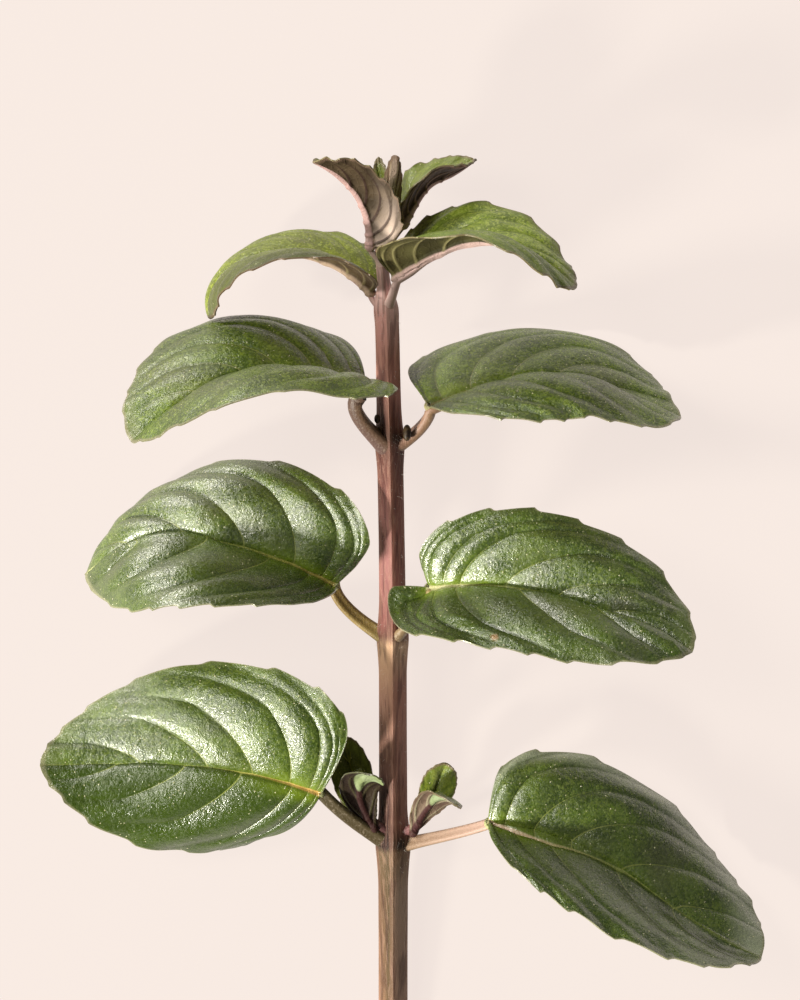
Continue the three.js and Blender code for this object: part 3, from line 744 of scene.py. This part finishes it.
def stemMaterial():
    material, tree = newMaterial("stemSkin")
    place = objectPlace(tree)
    corner, _, height = readSizes(tree)
    around = readChart(tree)[0]
    stripes = clouds(objectPlace(tree, (1, 14, 1)), 0.28, 3)
    streaks = clouds(objectPlace(tree, (1, 10, 1)), 0.9, 2)
    sunny = times(spread(around, 0.23, 0.27), spread(around, 0.7, 0.8, 1, 0))
    shadedFace, sunnyFace = (heightRamp(height, stemColours[face]) for face in ("shadedFace", "sunnyFace"))
    # painted shade: below the lowest node the middle of the stem is painted a dark olive
    middle = times(spread(around, 0.22, 0.26), spread(around, 0.3, 0.4, 1, 0))
    colour = paint(blend(sunny, shadedFace, sunnyFace), [
        (times(middle, spread(height, 0.2, 0.228, 0.75, 0)), stemColours["paintedMiddleShade"]),
        (spread(stripes, 0.5, 0.62, 0, 0.22), stemColours["stripe"]),
        (spread(streaks, 0.48, 0.64, 0, 0.5), stemColours["streak"]),
        (spread(corner, 0.93, 1, 0, 0.25), stemColours["corner"]),
        (spread(cells(place, 0.33).outputs["Distance"], 0.08, 0.2, 0.16, 0), stemColours["fleck"]),
    ])
    grain = clouds(place, 0.18, 2)
    dress(tree, colour, roughness=0.5, shine=0.22, relief=[(stripes, 0.12), (grain, 0.05)])
    return material


hairs = dict(
    count=640, seed=7, colour=(0.82, 0.76, 0.7), length=(0.35, 0.95), radius=0.016, droop=0.45, stray=0.3,
    atNodes=0.65, nodeSpread=1.6,  # this share stands close to a node
    elsewhere=(20, 90),  # the others start here, and reach this much further
    lowest=2, highest=112,
    rise=0.42,  # half would stand each hair on the surface, so its foot is inside
)
axilBuds = dict(
    places=[  # centre and half sizes
        ((2.25, 89.5, 13.9), (0.65, 1.25, 0.6)),
        ((-2.2, 91.6, 14), (0.45, 0.7, 0.45)),
        ((2.3, 60.4, 9.9), (0.5, 0.8, 0.5)),
    ],
    dark=(0.014, 0.008, 0.006), light=(0.07, 0.045, 0.02),
)


def plainMaterial(name, dark, light, roughness):
    material, tree = newMaterial(name)
    share = spread(clouds(objectPlace(tree), 0.5, 3), 0.35, 0.65)
    dress(tree, blend(share, dark, light), roughness, shine=0.3)
    return material


def vertexPlaces(piece):
    return np.array([vertex.co[:] for vertex in piece.data.vertices])


def addHairs():
    random.seed(hairs["seed"])
    bpy.ops.mesh.primitive_cone_add(vertices=3, radius1=1, radius2=0, depth=1)
    pattern = bpy.context.object
    pattern.data.materials.append(plainMaterial("hairWhite", hairs["colour"], hairs["colour"], 0.4))
    shape = vertexPlaces(pattern)
    stray, (start, reach) = hairs["stray"], hairs["elsewhere"]
    copies = []
    for _ in range(hairs["count"]):
        if random.random() < hairs["atNodes"]:
            height = random.gauss(random.choice(stem["nodes"]), hairs["nodeSpread"])
        else:
            height = start + reach * random.random() ** 0.7
        height = np.clip(height, hairs["lowest"], hairs["highest"])
        turn = random.uniform(0, 2 * math.pi)
        outward = np.array([math.cos(turn), 0.0, math.sin(turn)])
        point = stemAxis(height) + outward * stemReach(height, turn)
        point[1] = height
        lean = [random.gauss(0, stray), random.gauss(-hairs["droop"], stray), random.gauss(0, stray)]
        towards = unit(outward + lean)
        aside = unit(np.cross(towards, [0.3, 0.2, 0.93]))
        length = random.uniform(*hairs["length"])
        hair = pattern.copy()
        hair.data = pattern.data.copy()
        bpy.context.collection.objects.link(hair)
        moveTo(
            hair,
            point
            + np.outer(shape[:, 0] * hairs["radius"], aside)
            + np.outer(shape[:, 1] * hairs["radius"], np.cross(towards, aside))
            + np.outer((shape[:, 2] + hairs["rise"]) * length, towards),
        )
        copies.append(hair)
    bpy.data.objects.remove(pattern)
    return copies


def addAxilBuds():
    material = plainMaterial("budDark", axilBuds["dark"], axilBuds["light"], 0.5)
    buds = []
    for centre, sizes in axilBuds["places"]:
        bpy.ops.mesh.primitive_uv_sphere_add(segments=16, ring_count=10, radius=1)
        bud = bpy.context.object
        moveTo(bud, vertexPlaces(bud) * sizes + centre)
        bud.data.materials.append(material)
        buds.append(bud)
    return buds


def addStem():
    rows = stem["rows"]
    piece, s, c = addGrid("stemTube", rows, stem["sides"])
    top = stem["radius"][-1][0]
    # the first and the last row only close the ends
    height = np.clip(s * rows - 1, 0, rows - 2) / (rows - 2) * top
    turn = 2 * np.pi * c
    cosine, sine = np.cos(turn), np.sin(turn)
    reach = stemReach(height, turn)
    reach[[0, -1]] = 0.0
    points = stemAxis(height) + np.stack([cosine * reach, np.zeros_like(turn), sine * reach], -1)
    points[..., 1] = height
    points[..., 2] = np.maximum(points[..., 2], stem["clearance"])
    moveTo(piece, points)
    note(piece, [c, height / top], [np.maximum(np.abs(cosine), np.abs(sine)), reach, height / top])
    piece.data.materials.append(stemMaterial())
    weld(piece)
    return fuse([piece, *addHairs(), *addAxilBuds()], "stemPiece")


# the ten leaves; stalk is the petiole's colours at its foot and at its head, each (sunny side, shaded side)
leaves = {}
leaves["leafOneLeft"] = dict(
    node="leaf_1_left", side=-1, foot=27.2, look="old", seed=11, width=(2.5, 2), halfWidth=15.6, egg=0.32,
    point=1.25, roll=(-33, 24), puff=1, handles=[(-3.5, 29.2, 6.8), (-7.8, 32.4, 9.6)],
    rib=[(-10.75, 35.5, 11.5), (-27, 41.75, 15.25), (-40.5, 39.75, 7.75), (-52.75, 39.75, 10.5)],
    tipward=dict(
        fold=(10, 9), curl=44, lobe=0.11, pillow=(0, -0.7, 0), veins=(9.5, 17, 25.5, 39, 54.5, 67.5, 82.5),
    ),
    stemward=dict(fold=(11, 9), curl=62, lobe=0, pillow=(0, 0.5, -0.4), veins=(13.5, 25, 37, 58, 73, 87)),
    # its stemward half gets a strong painted shade
    tint=dict(stemwardPaintedShade=0.8, stemwardDull=-0.05, bloomAndPaintedSheen=(0.09, 0.1, 0.04), wax=1.52),
    stalk=(((0.07, 0.05, 0.02), (0.035, 0.022, 0.008)), ((0.06, 0.045, 0.014), (0.035, 0.025, 0.008))),
)
leaves["leafOneRight"] = dict(
    node="leaf_1_right", side=1, foot=27.1, look="old", seed=12, width=(2.4, 1.7), halfWidth=13.4, egg=0.05,
    point=0.95, roll=(26, 59), puff=0.75, handles=[(4, 27.9, 5), (11, 29.6, 9)],
    rib=[(14.5, 31.25, 11.5), (34, 29.5, 11.5), (35.75, 20.25, 9.5), (55.5, 10.75, 9)],
    bow=[(0, 0), (0.4, -0.11), (0.5, -0.12), (0.68, -0.03), (0.75, 0), (1, 0)],
    tipward=dict(
        fold=(35, 25), curl=31, lobe=0.1, pillow=(0.1, 1.8, -1.5), veins=(12.5, 27.5, 43.5, 57, 71.5, 84.5),
    ),
    stemward=dict(fold=(34, 27), curl=44, lobe=0, pillow=(0.9, -1.8, -1.8), veins=(15.5, 33.5, 48.5, 70.5, 84)),
    # a broad pale band along its tipward margin is a painted sheen
    tint=dict(rim=(0.46, 0.5, 0.36), paintedRimSheenAndShadeReach=2.6, rib=(0.8, 0.58, 0.4), ribWidth=0.85, wax=1.7),
    stalk=(((0.3, 0.19, 0.1), (0.17, 0.14, 0.035)), ((0.72, 0.48, 0.42), (0.28, 0.23, 0.05))),
)
leaves["leafTwoLeft"] = dict(
    node="leaf_2_left", side=-1, foot=58.3, look="old", seed=21, width=(2.5, 1.9), halfWidth=14.8, egg=0,
    point=1.3, roll=(15, 53), puff=1.2, handles=[(-3.2, 60, 7.8), (-8.3, 63.6, 9.4)],
    rib=[(-8.5, 66.75, 10.5), (-35.75, 81.25, 18.75), (-43.75, 70, 9.25), (-46.25, 68.25, 6.5)],
    bow=[(0, 0), (0.7, 0), (0.8, 0.13), (0.88, 0.2), (0.93, 0.2), (1, 0)],
    tipward=dict(
        fold=(66, -9), curl=62, lobe=0.15, pillow=(0, -0.6, -0.1), veins=(10.5, 19, 29.5, 46, 63.5, 77.5, 88.5),
    ),
    stemward=dict(fold=(66, -10), curl=28, lobe=0, pillow=(-0.3, -1.8, -0.1), veins=(13, 24, 37, 55, 73, 87.5)),
    tint=dict(ash=0.7, bloomAndPaintedSheen=(0.13, 0.14, 0.06), rib=(0.5, 0.42, 0.12), wax=1.75),
    stalk=(((0.3, 0.22, 0.07), (0.14, 0.1, 0.03)), ((0.28, 0.17, 0.05), (0.12, 0.08, 0.03))),
)
leaves["leafTwoRight"] = dict(
    node="leaf_2_right", side=1, foot=58.5, look="old", seed=22, width=(2.8, 2), halfWidth=12, egg=0.08,
    point=1.3, roll=(16, 36), puff=1.2, handles=[(1.8, 60.2, 11.5), (4.6, 63.6, 12)],
    rib=[(5.5, 66.5, 14), (6, 66, 18), (21.25, 70.75, 19.75), (44, 57.25, 24.5)],
    bow=[(0, 0), (0.75, 0), (0.87, -0.06), (1, 0)],
    tipward=dict(
        fold=(45, 13), curl=40, lobe=0.04, pillow=(-0.2, -0.2, -0.3),
        veins=(10.5, 20.5, 33.5, 42.5, 59.5, 73.5, 85),
    ),
    stemward=dict(
        fold=(44, 14), curl=28, lobe=0.11, pillow=(-1.8, -0.7, 1.1), veins=(9, 17, 26.5, 40.5, 63.5, 81),
    ),
    tint=dict(blemish=(15, 59.5), rib=(0.48, 0.46, 0.24), wax=1.7),
    stalk=(((0.3, 0.2, 0.12), (0.2, 0.13, 0.07)), ((0.28, 0.22, 0.07), (0.18, 0.14, 0.05))),
)
leaves["leafThreeLeft"] = dict(
    node="leaf_3_left", side=-1, foot=87.3, look="middle", seed=31, width=(3, 2.4), depth=1, halfWidth=18,
    egg=0.3, point=1.2, roll=(68, 56), puff=0.75, handles=[(-3, 89.4, 13.8), (-7.4, 93.6, 15.6)],
    rib=[(-4, 96, 17), (-20, 101, 23), (-24.5, 99, 28), (-38, 88, 27)],
    tipward=dict(fold=(25, 35), curl=53, lobe=0.05, veins=(14, 28, 41, 51, 64, 74, 85)),
    stemward=dict(fold=(40, 23), curl=37, lobe=0.14, veins=(14, 28, 42, 57, 72, 86)),
    stalk=(((0.16, 0.09, 0.06), (0.1, 0.05, 0.04)), ((0.24, 0.15, 0.08), (0.13, 0.08, 0.05))),
)
leaves["leafThreeRight"] = dict(
    node="leaf_3_right", side=1, foot=87.3, look="middle", seed=32, width=(2.7, 2), depth=0.95, halfWidth=14.8,
    egg=0.04, point=1.05, roll=(63, 71), puff=0.8, handles=[(2.6, 88.4, 11.2), (5.4, 91, 13)],
    rib=[(5.5, 93.5, 15), (31.75, 105.25, 11.75), (32.75, 91.25, 15.25), (43, 91.75, 15)],
    tipward=dict(
        fold=(20, 18), curl=25, lobe=0.13, pillow=(0, -0.4, 0.2), veins=(13, 29, 46.5, 62, 74.5, 85.5),
    ),
    stemward=dict(fold=(20, 18), curl=49, lobe=0, pillow=(-0.1, -1, 1.8), veins=(14, 28, 43, 58, 72, 86)),
    stalk=(((0.34, 0.19, 0.14), (0.24, 0.13, 0.07)), ((0.44, 0.27, 0.18), (0.26, 0.16, 0.08))),
)
leaves["leafFourLeft"] = dict(
    node="leaf_4_left", side=-1, foot=107.6, look="young", seed=41, width=(1.6, 1.2), halfWidth=9.5, egg=0.1,
    point=1.15, roll=(68, 73), puff=0.5, handles=[(-2.2, 108.3, 13.4), (-3, 109.4, 13.6)],
    rib=[(-3, 110.5, 14), (-13.5, 122, 14), (-30, 114.5, 14.5), (-27, 106.5, 13)],
    tipward=dict(fold=(38, -7), curl=30, lobe=0, veins=(14, 27, 41, 56, 70, 84)),
    stemward=dict(fold=(42, 0), curl=23, lobe=0.12, veins=(14, 28, 43, 59, 75, 88)),
    tint=dict(
        green=(0.23, 0.29, 0.018), deep=(0.11, 0.14, 0.008), under=(0.105, 0.072, 0.038),
        underDeep=(0.052, 0.034, 0.018), underBase=(0.11, 0.07, 0.04), rib=(0.42, 0.3, 0.16),
        # a wide dark band along its stemward margin is a painted shade
        # its stemward half gets a painted shade
        rim=(0.055, 0.058, 0.02), paintedRimSheenAndShadeReach=4.4, paintedRimSheenAndShadeSide=0, stemwardPaintedShade=0.35, stipple=0.7,
        underVein=(0.25, 0.2, 0.1), edge=(0.16, 0.09, 0.06),
    ),
    # its stalk colours are painted lighter, to make up for the shade that falls on it
    stalk=(((0.74, 0.48, 0.45), (0.56, 0.34, 0.31)), ((0.66, 0.42, 0.38), (0.48, 0.28, 0.25))),
)
leaves["leafFourRight"] = dict(
    node="leaf_4_right", side=1, foot=107.8, look="young", seed=42, width=(2, 1.7), halfWidth=9.5, egg=0.15,
    point=1.25, roll=(89, 66), puff=0.55, handles=[(0, 109.4, 16.2), (0.3, 111, 16.6)],
    rib=[(0.5, 112.5, 17), (8, 117, 22), (15.5, 122, 26), (27, 110.5, 24)],
    tipward=dict(fold=(36, 3), curl=-8, lobe=0.05, veins=(14, 27, 41, 56, 70, 84)),
    stemward=dict(fold=(60, 1), curl=36, lobe=0.04, veins=(14, 28, 43, 59, 75, 88)),
    tint=dict(
        # its stemward half gets a painted shade
        green=(0.285, 0.4, 0.024), deep=(0.1, 0.15, 0.01), net=0, stemwardPaintedShade=0.55, stipple=0.75,
        pale=(0.42, 0.5, 0.09), under=(0.095, 0.088, 0.032), underDeep=(0.052, 0.046, 0.018),
        underBase=(0.13, 0.11, 0.045), underVein=(0.28, 0.25, 0.11), rib=(0.6, 0.44, 0.36),
        underRib=(0.72, 0.5, 0.46),
    ),
    # its stalk colours are painted lighter, to make up for the shade that falls on it
    stalk=(((0.8, 0.56, 0.52), (0.66, 0.44, 0.4)), ((0.8, 0.58, 0.55), (0.64, 0.44, 0.4))),
)
leaves["leafFiveLeft"] = dict(
    node="leaf_5_left", side=-1, foot=114.5, look="young", seed=51, width=(1.5, 1.3), halfWidth=6, egg=0.1,
    point=1.2, roll=(112, 96), puff=0.45, handles=[(-2.2, 115.6, 15.8), (-2.9, 116.2, 16.5)],
    rib=[(-3, 117, 17), (-3, 124.5, 19), (-7, 127.5, 22), (-11.5, 129, 24)],
    tipward=dict(fold=(26, 21), curl=11, lobe=0.04, veins=(22, 38, 52, 66, 80)),
    stemward=dict(fold=(39, 18), curl=-5, lobe=0.02, veins=(22, 38, 52, 66, 80)),
    tint=dict(
        under=(0.082, 0.056, 0.032), underDeep=(0.036, 0.024, 0.013), underBase=(0.84, 0.66, 0.56),
        underVein=(0.026, 0.01, 0.009), underRib=(0.5, 0.32, 0.3), baseReach=0.62, net=0,
    ),
    stalk=(((0.8, 0.58, 0.56), (0.7, 0.5, 0.48)), ((0.72, 0.5, 0.5), (0.62, 0.42, 0.42))),
)
leaves["leafFiveRight"] = dict(
    node="leaf_5_right", side=1, foot=115, look="young", seed=52, width=(1.4, 1.1), halfWidth=6.5, egg=0.1,
    point=1.25, roll=(95, 72), puff=0.4, handles=[(-0.9, 117, 14.4), (0.6, 119, 14.8)],
    rib=[(1.5, 120.5, 15), (6, 129.5, 14), (6, 126, 12), (12.5, 130.5, 10)],
    tipward=dict(fold=(9, 26), curl=-10, lobe=0.02, veins=(22, 38, 52, 66, 80)),
    stemward=dict(fold=(19, 16), curl=16, lobe=0.04, veins=(22, 38, 52, 66, 80)),
    tint=dict(
        under=(0.095, 0.056, 0.044), underDeep=(0.05, 0.027, 0.022), underBase=(0.15, 0.085, 0.07),
        underVein=(0.26, 0.16, 0.12), underRib=(0.56, 0.36, 0.34),
    ),
    stalk=(((0.55, 0.38, 0.36), (0.42, 0.28, 0.26)), ((0.5, 0.34, 0.32), (0.36, 0.22, 0.22))),
)
petiole = dict(
    rows=34, groove=0.45, flare=0.25, flareReach=0.2,
    sink=(0.3, 0.52),  # how far its middle lies under the blade, in widths, where it joins and further on
    sunk=0.3, runOut=0.3, taper=0.75, fleck=(0.5, 0.4, 0.3),
)


def addPetiole(name, leaf):
    foot = stemAxis(np.array(leaf["foot"]))
    stemWidth, bladeWidth = leaf["width"]
    first, last = petiole["sink"]
    place, facing, _, _ = ribFrames(leaf, np.array([0.0]))
    t = np.linspace(0, 1, petiole["rows"])
    centres = bezier([foot, *leaf["handles"], place[0] - facing[0] * bladeWidth * first], t)
    widths = stemWidth + (bladeWidth - stemWidth) * np.sqrt(t)
    widths = widths * (1 + petiole["flare"] * near(t, petiole["flareReach"]))
    # it runs on under the midrib, thinner and thinner
    further = np.linspace(0, petiole["runOut"], petiole["rows"] // 2)[1:]
    place, turned, _, _ = ribFrames(leaf, leaf["route"].length * further)
    share = further / petiole["runOut"]
    tail = bladeWidth * (1 - petiole["taper"] * share)
    sink = first + (last - first) * np.minimum(1, share / petiole["sunk"])
    centres = np.concatenate([centres, place - turned * (sink * tail)[:, None]])
    widths = np.concatenate([widths, tail])
    ups = np.concatenate([np.repeat(facing, len(t), axis=0), turned])
    material = stalkSkin(name + "Stalk", leaf["stalk"], petiole["fleck"])
    return addTube(name + "Petiole", centres, ups, widths, leaf["depth"], petiole["groove"], material)


def addLeaf(name, leaf, fine):
    leaf = grown({**leaf, "name": name})
    piece = fuse([addBlade(name, leaf, fine), addPetiole(name, leaf)], name)
    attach(piece, "root")
    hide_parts(leaf["node"])


# the side shoots and the bud at the tip
shootLeaf = dict(
    look="young", puff=0.2, tooth=0.15, roll=(-8, -8), ripple=0.06, keel=0.3, curl=10, lobe=0.03,
    veins=(20, 42, 66, 86),
)
bentLeaf = dict(
    shootLeaf, side=1, roll=(0, 0), up=(0, 0.8, -0.6), egg=-0.3, point=1.1, base=1.6, fold=(12, -10), curl=5,
)
closedLeaf = dict(shootLeaf, egg=0.15, base=1.1, fold=(30, 20))
shootStem = dict(rows=20, taper=0.4, depth=0.9, groove=0.0, fleck=(0.4, 0.3, 0.25))

leftOpenLeaf = dict(
    shootLeaf, side=-1, seed=61, halfWidth=3.2, egg=-0.05, point=0.95, base=1.7, fold=(25, 12),
    rib=[(-3.25, 31, 6.5), (-4.75, 33.25, 5.25), (-6, 38, 4.5), (-7.5, 43.75, 5.5)],
    tint=dict(
        green=(0.11, 0.13, 0.01), deep=(0.055, 0.065, 0.005), warm=(0.14, 0.15, 0.012), pale=(0.14, 0.16, 0.03),
        vein=(0.36, 0.36, 0.05), wax=1.3,
    ),
)
leftBentLeaf = dict(
    bentLeaf, seed=62, halfWidth=2.9,
    rib=[(-2.5, 30, 7.3), (-4.75, 32.5, 7.5), (-7, 40, 10), (-1.5, 38, 16)],
    tint=dict(
        under=(0.036, 0.024, 0.014), underDeep=(0.018, 0.01, 0.007), underBase=(0.026, 0.012, 0.01),
        underVein=(0.06, 0.052, 0.022), underRib=(0.04, 0.014, 0.013), green=(0.2, 0.25, 0.1),
        deep=(0.13, 0.17, 0.06), bandFrom=0.72, edge=(0.05, 0.035, 0.02), net=0,
    ),
)
rightOpenLeaf = dict(
    shootLeaf, side=1, seed=63, halfWidth=2.7, egg=-0.1, point=0.95, base=1.5, fold=(28, 15),
    rib=[(5, 31.5, 6.5), (5.75, 33.75, 5.5), (7, 36.25, 6), (8, 40, 9.5)],
    tint=dict(green=(0.15, 0.22, 0.022), deep=(0.07, 0.11, 0.01), vein=(0.07, 0.11, 0.01)),
)
rightBentLeaf = dict(
    bentLeaf, seed=64, halfWidth=2.6,
    rib=[(3, 29.25, 6.9), (4.25, 31.5, 7.4), (6.75, 38, 9), (9.75, 34, 15.5)],
    tint=dict(
        under=(0.19, 0.135, 0.095), underDeep=(0.11, 0.07, 0.05), underBase=(0.2, 0.11, 0.085),
        underVein=(0.33, 0.29, 0.19), underRib=(0.06, 0.018, 0.02), green=(0.2, 0.25, 0.1),
        deep=(0.13, 0.17, 0.06), bandFrom=0.68, net=0,
    ),
)
lowerBudLeaf = dict(
    closedLeaf, side=-1, seed=65, roll=(0, 0), halfWidth=1.5, point=1.2,
    rib=[(-0.5, 118.75, 15.5), (-1.25, 123.5, 14.5), (-1.75, 127, 13.5), (-2, 130.75, 12)],
    tint=dict(green=(0.24, 0.28, 0.04), deep=(0.15, 0.17, 0.03)),
)
upperBudLeaf = dict(
    closedLeaf, side=1, seed=66, roll=(180, 180), halfWidth=1.6, point=0.9,
    rib=[(-0.75, 118.4, 16.9), (-0.5, 123, 18.5), (0.25, 127, 19.5), (0.5, 130.5, 17.5)],
    tint=dict(
        under=(0.26, 0.17, 0.11), underDeep=(0.16, 0.095, 0.06), underBase=(0.4, 0.27, 0.2),
        underVein=(0.46, 0.36, 0.24), underRib=(0.48, 0.36, 0.28),
    ),
)
shoots = dict(
    shootLeft=dict(
        node="side_shoot_left", leaves=[leftOpenLeaf, leftBentLeaf], radius=0.8,
        colours=((0.09, 0.035, 0.035), (0.05, 0.02, 0.02)),
        path=[(0.15, 29.2, 6), (-2, 30.3, 6.9), (-3, 31.3, 6.8), (-3.8, 32.6, 6.4)],
    ),
    shootRight=dict(
        node="side_shoot_right", leaves=[rightOpenLeaf, rightBentLeaf], radius=0.8,
        colours=((0.26, 0.11, 0.11), (0.14, 0.06, 0.06)),
        path=[(0.15, 29, 5.6), (2.4, 29.6, 6.2), (3.8, 30.6, 6.4), (5.2, 32.2, 6.3)],
    ),
    tipBud=dict(
        node="tip_bud", leaves=[lowerBudLeaf, upperBudLeaf], radius=1,
        colours=((0.5, 0.34, 0.32), (0.4, 0.26, 0.24)),
        path=[(-1.7, 116.5, 15.2), (-1.2, 118.4, 15.8), (-0.6, 120, 16.4), (-0.5, 122.5, 16.6)],
    ),
)


def addShoot(name, shoot, fine):
    pieces = []
    for number, leaf in enumerate(shoot["leaves"]):
        half = {key: leaf[key] for key in ("fold", "curl", "lobe", "veins")}
        leaf = grown({**leaf, "tipward": half, "stemward": half, "name": name})
        pieces.append(addBlade(f"{name}Leaf{number}", leaf, fine, number))
    t = np.linspace(0, 1, shootStem["rows"])
    stops = np.linspace(0, 1, len(shoot["path"]))
    centres = np.stack([np.interp(t, stops, column) for column in zip(*shoot["path"])], -1)
    widths = 2 * shoot["radius"] * (1 - shootStem["taper"] * t)
    ups = np.tile([0.0, 0.0, 1.0], (len(t), 1))
    material = stalkSkin(name + "Stalk", [shoot["colours"]] * 2, shootStem["fleck"])
    depth, groove = shootStem["depth"], shootStem["groove"]
    pieces.append(addTube(name + "Stem", centres, ups, widths, depth, groove, material))
    piece = fuse(pieces, name)
    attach(piece, "root")
    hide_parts(shoot["node"])


# rows and columns of a blade
fineness = {"old": (200, 84), "middle": (200, 84), "young": (150, 64), "shoot": (84, 36)}

bpy.ops.object.select_all(action="DESELECT")
addCamera()
addFloor()
addLight()
print("camera, floor and light are in place")

stemPiece = addStem()
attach(stemPiece, "root")
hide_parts("main_stem")
print("stem made")

for name, leaf in leaves.items():
    addLeaf(name, leaf, fineness[leaf["look"]])
    print(name, "made")

for name, shoot in shoots.items():
    addShoot(name, shoot, fineness["shoot"])
    print(name, "made")
